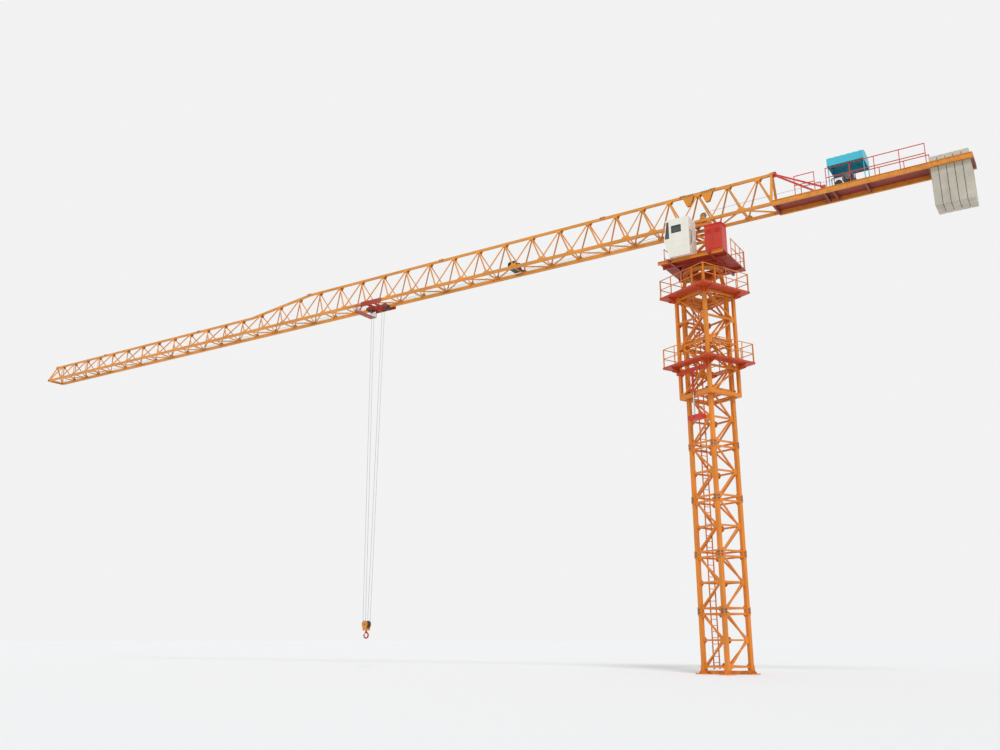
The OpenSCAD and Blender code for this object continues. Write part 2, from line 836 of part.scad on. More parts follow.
// Deck of the counter-jib: two main beams, cross beams, and a floor that stops short of the counterweights.
module counter_jib_deck() {
    x0 = root_back + gap;
    slab_space = slab_n * (slab_t + 10) + 20;
    floor_end = deck_back - beam_t - slab_space;
    y_in = deck_w / 2 - beam_t;
    low = jib_z - beam_h / 2;
    color(YELLOW)
        for (sy = [-1, 1])
            block([x0, sy * beam_y - beam_t / 2, low], [deck_back, sy * beam_y + beam_t / 2, deck_top]);
    color(RED) {
        for (x = [x0, tie_reach - beam_t / 2, winch_x - 400, winch_x + 400, floor_end - beam_t, deck_back - beam_t])
            block([x, -y_in - 1, low], [x + beam_t, y_in + 1, deck_floor]);
        block([x0, -y_in - 1, deck_floor - plate_t], [floor_end, y_in + 1, deck_floor]);
    }
}

// Handrails on both sides of the deck, broken where the tie bars come down.
module counter_jib_railing() {
    weights = slab_n * (slab_t + 10) + beam_t + 20;
    color(RED)
        for (sy = [-1, 1], part = [[root_back + 620, tie_reach - 200, 2], [tie_reach + 80, deck_back - weights - 40, 5]])
            translate([part[0], sy * beam_y, deck_top + gap])
                handrail(part[1] - part[0], part[2]);
}

// Hoist winch: bed, gearbox, motor and the two bearings that carry the drum.
module hoist_winch() {
    z = deck_floor + gap;
    bed_h = 40;
    bearing_y = drum_l / 2 + 32;
    bearing_t = 40;
    color(BLACK) {
        block([winch_x - 330, -285, z], [winch_x + 330, 285, z + bed_h]);
        for (sy = [-1, 1])
            difference() {
                block([winch_x - 100, sy * bearing_y - bearing_t / 2, z + bed_h - 10],
                      [winch_x + 100, sy * bearing_y + bearing_t / 2, drum_axis_z + 60]);
                translate([winch_x, sy * bearing_y, drum_axis_z])
                    rotate([90, 0, 0])
                        cylinder(h = bearing_t + 20, r = drum_shaft_r + 0.05, center = true);
            }
        block([winch_x - 70, bearing_y + bearing_t / 2 - 1, z + bed_h - 10], [winch_x + 70, 282, drum_axis_z - 60]);
        translate([winch_x - 240, 0, z + 120])
            rotate([90, 0, 0])
                cylinder(h = 420, r = 78, center = true);
        block([winch_x - 290, -150, z + bed_h - 10], [winch_x - 190, 150, z + 60]);
    }
}

// Rope drum of the hoist winch, on its shaft.
module hoist_drum() {
    color(STEEL)
        translate([winch_x, 0, drum_axis_z])
            rotate([90, 0, 0]) {
                cylinder(h = drum_l, r = drum_core_r, center = true);
                for (sy = [-1, 1])
                    translate([0, 0, sy * (drum_l / 2 - 7)])
                        cylinder(h = 14, r = drum_core_r + 40, center = true);
                cylinder(h = drum_l + 110, r = drum_shaft_r, center = true);
            }
}

// Sheet-metal rain hood over the winch: an arched roof with side and end skirts, on four legs.
module winch_cover() {
    half = deck_w / 2 + 15;
    rise = 120;
    arch_r = (half * half + rise * rise) / (2 * rise);
    z0 = deck_top + rail_h + 12;
    z1 = z0 + 210;
    x0 = winch_x - hood_l / 2;
    leg_y = 300;
    color(TURQUOISE) {
        difference() {
            union() {
                block([x0, -half, z0], [x0 + hood_l, half, z1]);
                intersection() {
                    translate([x0, 0, z1 + rise - arch_r])
                        rotate([0, 90, 0])
                            cylinder(h = hood_l, r = arch_r, $fn = 96);
                    block([x0, -half, z1 - 1], [x0 + hood_l, half, z1 + rise + 1]);
                }
            }
            block([x0 + hood_t, -half + hood_t, z0 - 1], [x0 + hood_l - hood_t, half - hood_t, z1]);
            intersection() {
                translate([x0 + hood_t, 0, z1 + rise - arch_r])
                    rotate([0, 90, 0])
                        cylinder(h = hood_l - 2 * hood_t, r = arch_r - hood_t, $fn = 96);
                block([x0, -half, z1 - 1], [x0 + hood_l, half, z1 + rise]);
            }
        }
        for (x = [x0, x0 + hood_l - 20], sy = [-1, 1])
            block([x, sy * leg_y - 10, deck_floor + gap], [x + 20, sy * leg_y + 10, z0 + 20]);
    }
}

// Concrete counterweight slabs, hung between the deck's beams by their shoulders.
module counterweights() {
    y_in = deck_w / 2 - beam_t - 8;
    shoulder_h = 130;
    color(CONCRETE)
        for (i = [0:slab_n - 1]) {
            x = deck_back - beam_t - 10 - (i + 1) * (slab_t + 10);
            block([x, -y_in, deck_top - slab_drop], [x + slab_t, y_in, deck_top + shoulder_h]);
            block([x, -deck_w / 2, deck_top + gap], [x + slab_t, deck_w / 2, deck_top + shoulder_h]);
        }
}

// Moves a piece from the mast's axis to the trolley's place on the jib.
module at_trolley() {
    translate([-trolley_reach, 0, 0])
        children();
}

// Frame of the trolley: side plates, cross beams, hangers for the sheaves, and a service basket.
module trolley_frame() {
    half = trolley_l / 2;
    low = trolley_z - 60;
    beam_top = trolley_z - 8;
    hanger_y = fall_y + 40;
    hanger_t = 12;
    basket_l = 240;
    basket_drop = 160;
    bar_t = 14;
    color(RED)
        at_trolley() {
            for (sy = [-1, 1]) {
                y = sy * (frame_y + plate_t / 2);
                block([-half, y - plate_t / 2, low], [half, y + plate_t / 2, wheel_z + 40]);
                block([-half, sy * hanger_y - hanger_t / 2, sheave_z - 50], [half, sy * hanger_y + hanger_t / 2, beam_top]);
                for (z = [low - basket_drop, low + 76])
                    block([-half - basket_l, y - plate_t / 2, z], [-half + 30, y + plate_t / 2, z + bar_t]);
                for (x = [-half - basket_l, -half + 30 - bar_t])
                    block([x, y - plate_t / 2, low - basket_drop], [x + bar_t, y + plate_t / 2, low + 76 + bar_t]);
            }
            for (x = [-170, 120])
                block([x, -frame_y - 1, low], [x + 50, frame_y + 1, beam_top]);
            block([-half - basket_l, -frame_y - 1, low - basket_drop], [-half + 30, frame_y + 1, low - basket_drop + 8]);
        }
}

// Eight wheels that run on the rails of the bottom chords, each on its own short axle.
module trolley_wheels() {
    axle_r = 12;
    color(STEEL)
        at_trolley()
            for (x = [-380, -240, 240, 380], sy = [-1, 1])
                translate([x, sy * (wheel_y + wheel_w / 2), wheel_z])
                    rotate([sy * 90, 0, 0]) {
                        cylinder(h = wheel_w, r = wheel_r, center = true);
                        translate([0, 0, -wheel_w / 2 - clear + gap])
                            cylinder(h = wheel_w / 2, r = axle_r);
                    }
}

// Grooved rope sheave in the XZ plane, with its bore.
module sheave(x, y, z) {
    translate([x, y, z])
        rotate([90, 0, 0])
            rotate_extrude()
                polygon([[sheave_pin, -sheave_w / 2], [sheave_r + sheave_rim, -sheave_w / 2],
                         [sheave_r + sheave_rim, -rope_d / 2 - 4], [sheave_r, -rope_d / 2],
                         [sheave_r, rope_d / 2], [sheave_r + sheave_rim, rope_d / 2 + 4],
                         [sheave_r + sheave_rim, sheave_w / 2], [sheave_pin, sheave_w / 2]]);
}

// Rope sheaves of the trolley, on two cross pins between the hangers.
module trolley_sheaves() {
    color(STEEL)
        at_trolley()
            for (x = [-sheave_x, sheave_x]) {
                for (y = [-fall_y, fall_y])
                    sheave(x, y, sheave_z);
                translate([x, 0, sheave_z])
                    rotate([90, 0, 0])
                        cylinder(h = 2 * (fall_y + 34) - 2 * gap, r = sheave_pin, center = true);
            }
}

// The four falls of rope between the trolley and the hook block, drawn in towards the block.
module hoist_falls() {
    color(STEEL)
        at_trolley()
            for (x = [-1, 1], y = [-fall_y, fall_y])
                rod([x * fall_low_x, y, block_z], [x * fall_top_x, y, sheave_z], rope_d, 12);
}

// Hook block: two cheek plates, the sheaves' pin, and the crosshead that the hook turns in.
module hook_block() {
    cheek_y = fall_y + 30;
    cheek_t = 10;
    cheek_r = sheave_r + 25;
    head_x = 60;
    color(YELLOW)
        at_trolley()
            difference() {
                union() {
                    for (sy = [-1, 1])
                        translate([0, sy * cheek_y + cheek_t / 2, block_z])
                            rotate([90, 0, 0])
                                linear_extrude(cheek_t) {
                                    circle(r = cheek_r);
                                    polygon([[-cheek_r, 0], [cheek_r, 0],
                                             [head_x, crosshead_z - block_z], [-head_x, crosshead_z - block_z]]);
                                }
                    block([-head_x, -cheek_y - cheek_t / 2, crosshead_z], [head_x, cheek_y + cheek_t / 2, crosshead_z + crosshead_h]);
                    translate([0, 0, block_z])
                        rotate([90, 0, 0])
                            cylinder(h = 2 * cheek_y + cheek_t + 20, r = sheave_pin - 0.1, center = true);
                }
                translate([0, 0, crosshead_z - 1])
                    cylinder(h = crosshead_h + 2, r = shank_r + 0.05);
            }
}

// Sheaves of the hook block, side by side on its pin.
module hook_sheaves() {
    color(STEEL)
        at_trolley()
            for (y = [-fall_y, fall_y])
                sheave(0, y, block_z);
}

// Forged hook: bowl, neck, and the shank that its nut holds in the crosshead.
module hook() {
    nut_r = 38;
    nut_h = 22;
    mouth = 175;
    neck_z = hook_c + hook_r - hook_t / 2 - 8;
    color(RED)
        at_trolley() {
            translate([0, 0, hook_c])
                rotate([90, 0, 0])
                    rotate([0, 0, mouth])
                        rotate_extrude(angle = 440 - mouth)
                            translate([hook_r, 0])
                                circle(r = hook_t / 2);
            translate([0, 0, neck_z])
                cylinder(h = crosshead_z - clear - neck_z, r = hook_t / 2 + 4);
            translate([0, 0, crosshead_z - 2 * clear])
                cylinder(h = crosshead_h + 2 * clear + nut_h, r = shank_r);
            translate([0, 0, crosshead_z + crosshead_h + gap])
                cylinder(h = nut_h, r = nut_r, $fn = 6);
        }
}

base_frame();
for (i = [1:section_n])
    mast_section(i);
mast_ladder();
climbing_cage();
cage_walkways();
cage_railings();
climbing_ram();
slewing_support();
turntable();
turntable_walkway();
turntable_railing();
slewing_motors();
slewing_tower();
cab_shell();
cab_windows();
cab_door();
control_cabinet();
jib_head();
color(YELLOW) jib_lattice(head_l, section_2);  // jib_section_1
color(YELLOW) jib_lattice(section_2, section_3);  // jib_section_2
color(YELLOW) jib_lattice(section_3, section_4);  // jib_section_3
color(YELLOW) jib_lattice(section_4, section_5);  // jib_section_4
color(YELLOW) jib_lattice(section_5, section_6);  // jib_section_5
color(YELLOW) jib_lattice(section_6, jib_reach);  // jib_section_6
jib_end_frame();
jib_ropes();
trolley_winch();
counter_jib_root();
counter_jib_ties();
counter_jib_deck();
counter_jib_railing();
hoist_winch();
hoist_drum();
winch_cover();
counterweights();
trolley_frame();
trolley_wheels();
trolley_sheaves();
hoist_falls();
hook_block();
hook_sheaves();
hook();
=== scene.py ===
import math

import bmesh
import bpy
import numpy as np
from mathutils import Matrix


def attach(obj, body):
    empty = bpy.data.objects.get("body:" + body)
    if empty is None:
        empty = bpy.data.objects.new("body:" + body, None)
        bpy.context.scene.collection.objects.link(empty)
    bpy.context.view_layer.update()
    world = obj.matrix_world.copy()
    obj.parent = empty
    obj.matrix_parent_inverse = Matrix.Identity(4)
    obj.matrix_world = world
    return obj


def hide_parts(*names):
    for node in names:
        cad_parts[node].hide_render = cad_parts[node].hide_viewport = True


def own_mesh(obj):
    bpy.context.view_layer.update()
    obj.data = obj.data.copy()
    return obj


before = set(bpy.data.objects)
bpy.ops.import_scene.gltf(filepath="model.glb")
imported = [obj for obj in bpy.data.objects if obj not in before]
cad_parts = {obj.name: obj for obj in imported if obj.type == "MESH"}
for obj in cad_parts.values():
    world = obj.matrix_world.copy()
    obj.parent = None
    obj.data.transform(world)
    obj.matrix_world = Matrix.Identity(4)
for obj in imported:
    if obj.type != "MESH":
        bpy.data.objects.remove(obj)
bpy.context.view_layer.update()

# The view. The crane is seen from just above the ground, well back on the cab's side, with the
# jib running away to the left. The lens is wide enough to hold the jib and the counter-jib.
EYE = (8.465, -23.47, 0.80)
HEADING, PITCH, FIELD = math.radians(122.85), math.radians(15.77), math.radians(56.0)
SENSOR, FAR = 36.0, 3000.0
lens = bpy.data.cameras.new("eye")
lens.sensor_width = SENSOR
lens.lens = SENSOR / 2 / math.tan(FIELD / 2)
lens.clip_end = FAR
eye = bpy.data.objects.new("eye", lens)
eye.location = EYE
eye.rotation_euler = (math.pi / 2 + PITCH, 0.0, HEADING - math.pi / 2)
bpy.context.scene.collection.objects.link(eye)
bpy.context.scene.camera = eye
bpy.context.scene.view_settings.view_transform = "Standard"


# The floor and the light. A pale level floor under a plain pale sky, one broad soft sun from
# behind the camera, and a dim one from the other side so that no face is lost in shade.
class Field:
    """A number or colour that varies over a surface. Arithmetic on it adds Math nodes."""

    def __init__(self, tree, socket):
        self.tree, self.socket = tree, socket

    def maths(self, kind, *terms):
        """A Math node of one kind, with a field or a number on each socket."""
        node = self.tree.nodes.new("ShaderNodeMath")
        node.operation = kind
        for slot, term in zip(node.inputs, terms):
            if isinstance(term, Field):
                self.tree.links.new(term.socket, slot)
            else:
                slot.default_value = term
        return Field(self.tree, node.outputs[0])

    def __add__(self, other):
        return self.maths("ADD", self, other)

    def __radd__(self, other):
        return self.maths("ADD", other, self)

    def __sub__(self, other):
        return self.maths("SUBTRACT", self, other)

    def __rsub__(self, other):
        return self.maths("SUBTRACT", other, self)

    def __mul__(self, other):
        return self.maths("MULTIPLY", self, other)

    def __rmul__(self, other):
        return self.maths("MULTIPLY", other, self)

    def __mod__(self, other):
        return self.maths("FLOORED_MODULO", self, other)

    def __abs__(self):
        return self.maths("ABSOLUTE", self)

    def above(self, edge, slope):
        """0 up to the edge, then rising at the slope as far as 1."""
        rise = (self - edge) * slope
        rise.socket.node.use_clamp = True
        return rise


class Nodes:
    """A tree of nodes that is being filled."""

    def __init__(self, tree):
        self.tree = tree

    def set(self, node, sockets):
        """Sockets by name, or by number after an underscore where names repeat."""
        for name, value in sockets.items():
            slot = node.inputs[int(name[1:]) if name[0] == "_" else name.replace("_", " ")]
            if isinstance(value, Field):
                self.tree.links.new(value.socket, slot)
            else:
                slot.default_value = value

    def node(self, kind, out=0, settings=None, **sockets):
        """Any node: its settings first, then its sockets. What comes back is one of its outputs."""
        node = self.tree.nodes.new(kind)
        for name, value in (settings or {}).items():
            setattr(node, name, value)
        self.set(node, sockets)
        return Field(self.tree, node.outputs[out])


class Finish(Nodes):
    """A material that is being made, on its Principled shader."""

    def __init__(self, name, **surface):
        self.material = bpy.data.materials.new(name)
        self.material.use_nodes = True
        super().__init__(self.material.node_tree)
        self.shader = self.tree.nodes["Principled BSDF"]
        self.look(**surface)

    def look(self, **surface):
        """Numbers, colours or fields for the shader's own sockets."""
        self.set(self.shader, surface)

    def mix(self, share, a, b):
        """Colour a where the share is 0, and b where it is 1."""
        return self.node("ShaderNodeMix", 2, {"data_type": "RGBA"}, _0=share, _6=a, _7=b)

    def parts(self, vector):
        """The three numbers of a vector."""
        apart = self.node("ShaderNodeSeparateXYZ", Vector=vector).socket.node
        return [Field(self.tree, number) for number in apart.outputs]

    def place(self):
        """Object coordinates."""
        return self.node("ShaderNodeTexCoord", "Object")

    def noise(self, scale, detail=3.0, rough=0.55, stretch=None):
        """Cloudy noise with about scale spots a metre, or that times the stretch along each axis."""
        where = self.place()
        if stretch:
            where = self.node("ShaderNodeMapping", Vector=where, Scale=stretch)
        return self.node("ShaderNodeTexNoise", "Fac", Vector=where,
                         Scale=scale, Detail=detail, Roughness=rough)

    def facing_up(self):
        """The height part of the way a face looks: 1 on a level top, 0 on a wall, -1 on an underside."""
        return self.parts(self.node("ShaderNodeNewGeometry", "True Normal"))[2]

    def bump(self, height, distance, strength=1.0):
        """Relief that follows a field, with the distance in metres for a field's step of 1."""
        self.look(Normal=self.node("ShaderNodeBump", "Normal", Height=height, Strength=strength,
                                   Distance=distance))


def linear(red, green, blue):
    """A display colour of 0 to 255 as the linear colour that a shader takes."""
    c = np.array([red, green, blue]) / 255.0
    c = np.where(c <= 0.04045, c / 12.92, ((c + 0.055) / 1.055) ** 2.4)
    return (*c.tolist(), 1.0)


PALE, WHITE = linear(229, 230, 231), (1.0, 1.0, 1.0, 1.0)
FLOOR_HALF, FLOOR_DROP = 900.0, -0.001
floor_mesh = bpy.data.meshes.new("floor")
floor_mesh.from_pydata([(-FLOOR_HALF, -FLOOR_HALF, FLOOR_DROP), (FLOOR_HALF, -FLOOR_HALF, FLOOR_DROP),
                        (FLOOR_HALF, FLOOR_HALF, FLOOR_DROP), (-FLOOR_HALF, FLOOR_HALF, FLOOR_DROP)],
                       [], [(0, 1, 2, 3)])
floor_mesh.materials.append(Finish("pale_floor", Base_Color=PALE, Roughness=0.9).material)
floor = bpy.data.objects.new("floor", floor_mesh)
bpy.context.scene.collection.objects.link(floor)

SKY_LIGHT, SKY_SEEN = 0.62, 0.89
world = bpy.data.worlds.new("sky")
world.use_nodes = True
bpy.context.scene.world = world
sky = Nodes(world.node_tree)
direct, mirrored, through = (sky.node("ShaderNodeLightPath", f"Is {kind} Ray")
                             for kind in ("Camera", "Glossy", "Transmission"))
seen = direct + mirrored + through
seen.socket.node.use_clamp = True
sky.set(sky.tree.nodes["Background"], {"Color": WHITE, "Strength": SKY_LIGHT + seen * (SKY_SEEN - SKY_LIGHT)})


def sun(name, strength, spread, slope, heading):
    """A broad sun that shines down at a slope and towards a heading, both in degrees."""
    lamp = bpy.data.lights.new(name, "SUN")
    lamp.energy, lamp.angle = strength, math.radians(spread)
    lamp_object = bpy.data.objects.new(name, lamp)
    lamp_object.rotation_euler = (math.radians(90 - slope), 0.0, math.radians(heading - 90))
    bpy.context.scene.collection.objects.link(lamp_object)


sun("key_sun", 1.75, 16.0, 52.0, 128.0)
sun("fill_sun", 0.35, 60.0, 20.0, -40.0)


# Base frame: four foot plates bolted to the footing and joined by two crossed beams, all in
# orange paint. Nuts on washers hold each plate, and stiffeners brace the stub on it.
MUD, DUST, PRIMER = (0.09, 0.075, 0.06), (0.16, 0.145, 0.12), (0.05, 0.03, 0.025)
RUST = linear(112, 62, 38)
X, Y, Z = np.eye(3)


def shade(colour, times, plus=(0.0, 0.0, 0.0)):
    """A linear colour made darker or lighter, with a little of another added."""
    return (*(min(1.0, c * times + d) for c, d in zip(colour, plus)), 1.0)


def paint(name, colour, grime=0.35, chips=0.5, rough=0.42, fade=0.16):
    """Weathered paint: slow changes of tone, dirt that runs down the walls, dust on the tops, and chips.

    The chips lie in patches. Each has a rusty middle and a rim of darker primer.
    """
    f = Finish(name, Coat_Roughness=0.3, Specular_IOR_Level=0.4)
    run = f.noise(1.0, 5.0, 0.65, stretch=(9.0, 9.0, 0.7)).above(0.5, 4.0)
    settled = f.facing_up().above(0.3, 2.0) * f.noise(6.0, 4.0, 0.65).above(0.36, 3.0)
    wound = f.noise(23.0, 7.0, 0.72) + f.noise(1.7).above(0.42, 3.5) * 0.075 * chips
    primer, chip = wound.above(0.672, 30.0), wound.above(0.690, 30.0)
    base = f.mix(f.noise(0.8, 4.0).above(0.3, 2.4), shade(colour, 1.0 - fade),
                 shade(colour, 1.0 + fade * 0.6, (0.012, 0.012, 0.012)))
    base = f.mix(run * grime, base, shade(colour, 0.45, MUD))
    base = f.mix(settled * (0.25 + grime * 0.5), base, shade(colour, 0.5, DUST))
    base = f.mix(primer * 0.75, base, shade(colour, 0.3, PRIMER))
    f.look(Base_Color=f.mix(chip * 0.85, base, RUST),
           Roughness=rough + run * 0.22 + chip * 0.3 + settled * 0.2)
    f.bump(f.noise(55.0, 2.0) * 0.35 - primer * 0.5, 0.0015)
    return f.material


def plain(name, colour, rough, metal=0.0, depth=0.0008, change=0.2):
    """One plain finish with a fine change of tone and of gloss."""
    f = Finish(name, Metallic=metal)
    tone = f.noise(24.0, 5.0, 0.6)
    f.look(Base_Color=f.mix(tone.above(0.3, 2.5), shade(colour, 1.0 - change), shade(colour, 1.0 + change)),
           Roughness=rough * 0.8 + tone * rough * 0.4)
    f.bump(tone, depth)
    return f.material


def wear(finish, *nodes):
    """Gives CAD nodes a finish."""
    for node in nodes:
        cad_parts[node].data.materials.clear()
        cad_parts[node].data.materials.append(finish)


def unit(v):
    """Vectors along the last axis, each made one long."""
    v = np.asarray(v, float)
    return v / np.linalg.norm(v, axis=-1, keepdims=True)


def points_at(x, y, z):
    """Points from a number or a list of numbers for each of x, y and z."""
    return np.stack(np.broadcast_arrays(x, y, z), -1).astype(float)


def every(*lists):
    """All combinations of the lists' numbers, one a row."""
    return np.stack([g.ravel() for g in np.meshgrid(*map(np.asarray, lists), indexing="ij")], 1)


def extruded(outline, origins, across, up, along):
    """Prisms of one outline: origin + u * across + v * up for its points, and the same moved along."""
    vectors = np.broadcast_arrays(np.atleast_2d(origins), across, up, along)
    origins, across, up, along = (v[:, None].astype(float) for v in vectors)
    flat = np.asarray(outline, float)
    ring = origins + flat[:, :1] * across + flat[:, 1:] * up
    k, i = len(flat), np.arange(len(flat))
    base = np.arange(len(origins))[:, None] * 2 * k
    sides = (base[:, None] + skin(2, k)).reshape(-1, 4)
    points = np.stack([ring, ring + along], 1).reshape(-1, 3)
    return points, sides, np.concatenate([base + i[::-1], base + k + i])


def skin(rows, columns, closed=False):
    """Quads over a grid of points: its columns close into a ring, and its rows too if it is closed."""
    row = np.arange(rows if closed else rows - 1)[:, None] * columns
    after = (row + columns) % (rows * columns)
    i = np.arange(columns)
    j = (i + 1) % columns
    return np.stack([row + i, row + j, after + j, after + i], -1).reshape(-1, 4)


def turned(profile, centres, axes, sides, bored=False):
    """Pairs of radius and height carried round an axis, at each centre. A bored one is a closed ring."""
    centres = np.atleast_2d(centres).astype(float)
    axes = unit(np.broadcast_to(axes, centres.shape))
    across = unit(np.cross(np.where(np.abs(axes[:, 2:]) > 0.9, X, Z), axes))
    a, i = 2 * np.pi * (np.arange(sides)[:, None] + 0.5) / sides, np.arange(sides)
    spokes = np.cos(a) * across[:, None] + np.sin(a) * np.cross(axes, across)[:, None]
    r, h = np.asarray(profile, float).T[:, :, None, None]
    points = centres[:, None, None] + r * spokes[:, None] + h * axes[:, None, None]
    first = np.arange(len(centres))[:, None] * len(r) * sides
    quads = (first[:, None] + skin(len(r), sides, bored)).reshape(-1, 4)
    ends = [] if bored else [first + i[::-1], first + (len(r) - 1) * sides + i]
    return (points.reshape(-1, 3), quads, *ends)


def piece(name, body, slot, finish, *parts, smooth=0.0, bevel=0.0):
    """Joins (points, faces, faces ...) parts into one mesh, faces outwards, and rides it on its body."""
    points, loops, sizes, at = [], [], [], 0
    for spots, *groups in parts:
        for faces in groups:
            loops.append(np.asarray(faces).ravel() + at)
            sizes.append(np.full(len(faces), np.shape(faces)[1]))
        points.append(spots)
        at += len(spots)
    points, loops, sizes = map(np.concatenate, (points, loops, sizes))
    mesh = bpy.data.meshes.new(name)
    mesh.vertices.add(len(points))
    mesh.vertices.foreach_set("co", points.astype(np.float32).ravel())
    mesh.loops.add(len(loops))
    mesh.loops.foreach_set("vertex_index", loops.astype(np.int32))
    mesh.polygons.add(len(sizes))
    mesh.polygons.foreach_set("loop_start", (np.cumsum(sizes) - sizes).astype(np.int32))
    mesh.update(calc_edges=True)
    mesh.validate()
    shell = bmesh.new()
    shell.from_mesh(mesh)
    bmesh.ops.recalc_face_normals(shell, faces=shell.faces)
    shell.to_mesh(mesh)
    shell.free()
    if smooth:
        mesh.shade_smooth()
        mesh.set_sharp_from_angle(angle=math.radians(smooth))
    else:
        mesh.shade_flat()
    mesh.materials.append(finish)
    made = bpy.data.objects.new(name, mesh)
    bpy.context.scene.collection.objects.link(made)
    if bevel:
        edge = made.modifiers.new("edge", "BEVEL")
        edge.width, edge.segments, edge.limit_method = bevel, 2, "ANGLE"
    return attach(made, body)


MAST_TURN, MAST_HALF = math.radians(-25.0), 0.402


def on_mast(points):
    """Points or directions of the mast's own axes, turned to where the mast stands."""
    x, y, z = np.moveaxis(np.asarray(points, float), -1, 0)
    c, s = math.cos(MAST_TURN), math.sin(MAST_TURN)
    return points_at(x * c - y * s, x * s + y * c, z)


BOLT_RING, PLATE_TOP, STUB = 0.125, 0.024, 0.060
STAY_END, STAY_TOP, STAY_T, STAY_APART = 0.142, 0.104, 0.010, 0.034
orange = paint("orange_paint", linear(225, 133, 32), grime=0.42, chips=0.75)
steel = plain("oiled_steel", linear(120, 122, 126), 0.38, 0.9, change=0.25)
wear(orange, "base_frame")
corners = every([-1, 1], [-1, 1])
feet = np.c_[corners * MAST_HALF, np.zeros(4)]
ways = np.array([X, Y, -X, -Y])
bolts = on_mast((feet[:, None] + ways * BOLT_RING + Z * PLATE_TOP).reshape(-1, 3))
washer = [(0.010, 0.0), (0.024, 0.0), (0.024, 0.004), (0.010, 0.004)]
nut = [(0.016, 0.004), (0.019, 0.006), (0.019, 0.020), (0.016, 0.022)]
stud = [(0.0099, -0.02), (0.0099, 0.046), (0.0085, 0.049)]
piece("anchor_nuts", "mast", "bare_steel", steel, turned(washer, bolts, Z, 16), turned(nut, bolts, Z, 6),
      turned(stud, bolts, Z, 12))
stays = [(foot + side * np.cross(Z, way), way) for foot in feet for way in ways if foot @ way > 0
         for side in (-STAY_APART, STAY_APART)]
origin, outward = map(on_mast, zip(*stays))
stay = [(STUB - 0.001, PLATE_TOP), (STAY_END, PLATE_TOP), (STAY_END, PLATE_TOP + 0.012),
        (STUB + 0.012, STAY_TOP), (STUB - 0.001, STAY_TOP)]
sideways = np.cross(Z, outward) * STAY_T
piece("base_stiffeners", "mast", "yellow_paint", orange,
      extruded(stay, origin - sideways / 2, outward, Z, sideways))


# Mast: seven welded lattice sections of square posts with level and sloping bars, stacked and
# bolted together at thick collars. Each node of the lacing has a small plate welded over it.
SECTION, BASE_TOP, SECTIONS = 1.4, 0.11, 7
POST, LACE, COLLAR, PLATE_T = 0.096, 0.044, 0.012, 0.007
wear(orange, *[f"mast_section_{i}" for i in range(1, SECTIONS + 1)], "mast_ladder")


def faces_of(square, heights):
    """For each side of the mast and height: the side's outward way, its sideways way and its centre."""
    out = np.array([-Y, X, Y, -X])
    side, z = every(range(4), heights).T
    out = out[side.astype(int)]
    return out, np.cross(Z, out), out * square + np.outer(z, Z)


hex_head = [(0.0125, 0.0), (0.0145, 0.001), (0.0145, 0.010), (0.0120, 0.012)]
BOLT_APART, BOLT_ROWS = 0.022, [-0.052, -0.022, 0.022, 0.052]
joint_z = BASE_TOP + SECTION * np.arange(1, SECTIONS)
out, along, centre = faces_of(MAST_HALF + POST / 2 + COLLAR, np.add.outer(BOLT_ROWS, joint_z).ravel())
piece("mast_joint_bolts", "mast", "bare_steel", steel,
      *[turned(hex_head, on_mast(centre + along * (post + step)), on_mast(out), 6)
        for post in (-MAST_HALF, MAST_HALF) for step in (-BOLT_APART, BOLT_APART)])
end_plate = [(0.0, -0.060), (0.055, -0.060), (0.125, -0.018), (0.125, 0.018), (0.070, 0.075), (0.0, 0.075)]
mid_plate = [(0.0, -0.085), (0.070, -0.085), (0.130, -0.022), (0.130, 0.022), (0.070, 0.085), (0.0, 0.085)]
plates = []
for side, level, way, shape in ((-1, 0.070, 1, end_plate), (1, 0.700, 1, mid_plate),
                                (-1, 1.330, -1, end_plate)):
    out, along, centre = faces_of(MAST_HALF + LACE / 2 - 0.001,
                                  BASE_TOP + level + SECTION * np.arange(SECTIONS))
    start = centre + along * side * (MAST_HALF - POST / 2 - 0.002)
    plates.append(extruded(shape, on_mast(start), on_mast(along * -side), Z * way, on_mast(out) * PLATE_T))
piece("mast_node_plates", "mast", "yellow_paint", orange, *plates)


# Climbing cage: a taller and wider lattice frame that slides on the mast's top. Steel rollers
# on its corners bear on the mast's posts, and node plates stiffen its three laced sides.
CAGE_Z, CAGE_TOP, CAGE_HALF = 7.0, 9.91, 0.535
ROLLER_R, ROLLER_HALF = 0.0225, 0.044
wear(orange, "climbing_cage")
corner, height = every(range(4), [CAGE_Z + 0.19, CAGE_Z + 1.45, CAGE_TOP - 0.17]).T
corner = corners[corner.astype(int)]
spot = np.c_[corner * [MAST_HALF - 0.012, MAST_HALF + POST / 2 + ROLLER_R], height]
roller = [(0.010, -0.034), (0.020, -0.034), (0.021, -0.030), (0.021, 0.030), (0.020, 0.034), (0.010, 0.034)]
piece("cage_rollers", "mast", "bare_steel", steel, turned(roller, on_mast(spot), on_mast(X), 20, bored=True),
      turned([(0.0100, -0.05), (0.0100, 0.05)], on_mast(spot), on_mast(X), 10))
bracket = [(0, -0.022), (0.046, -0.022), (0.046, 0.022), (0, 0.022)]
inward, BRACKET_T = np.outer(corner[:, 1], Y), 0.008
brackets = [extruded(bracket, on_mast(spot + X * (end - BRACKET_T / 2) - inward * 0.012), on_mast(inward), Z,
                     on_mast(X) * BRACKET_T) for end in (-ROLLER_HALF, ROLLER_HALF)]
cage_plates = []
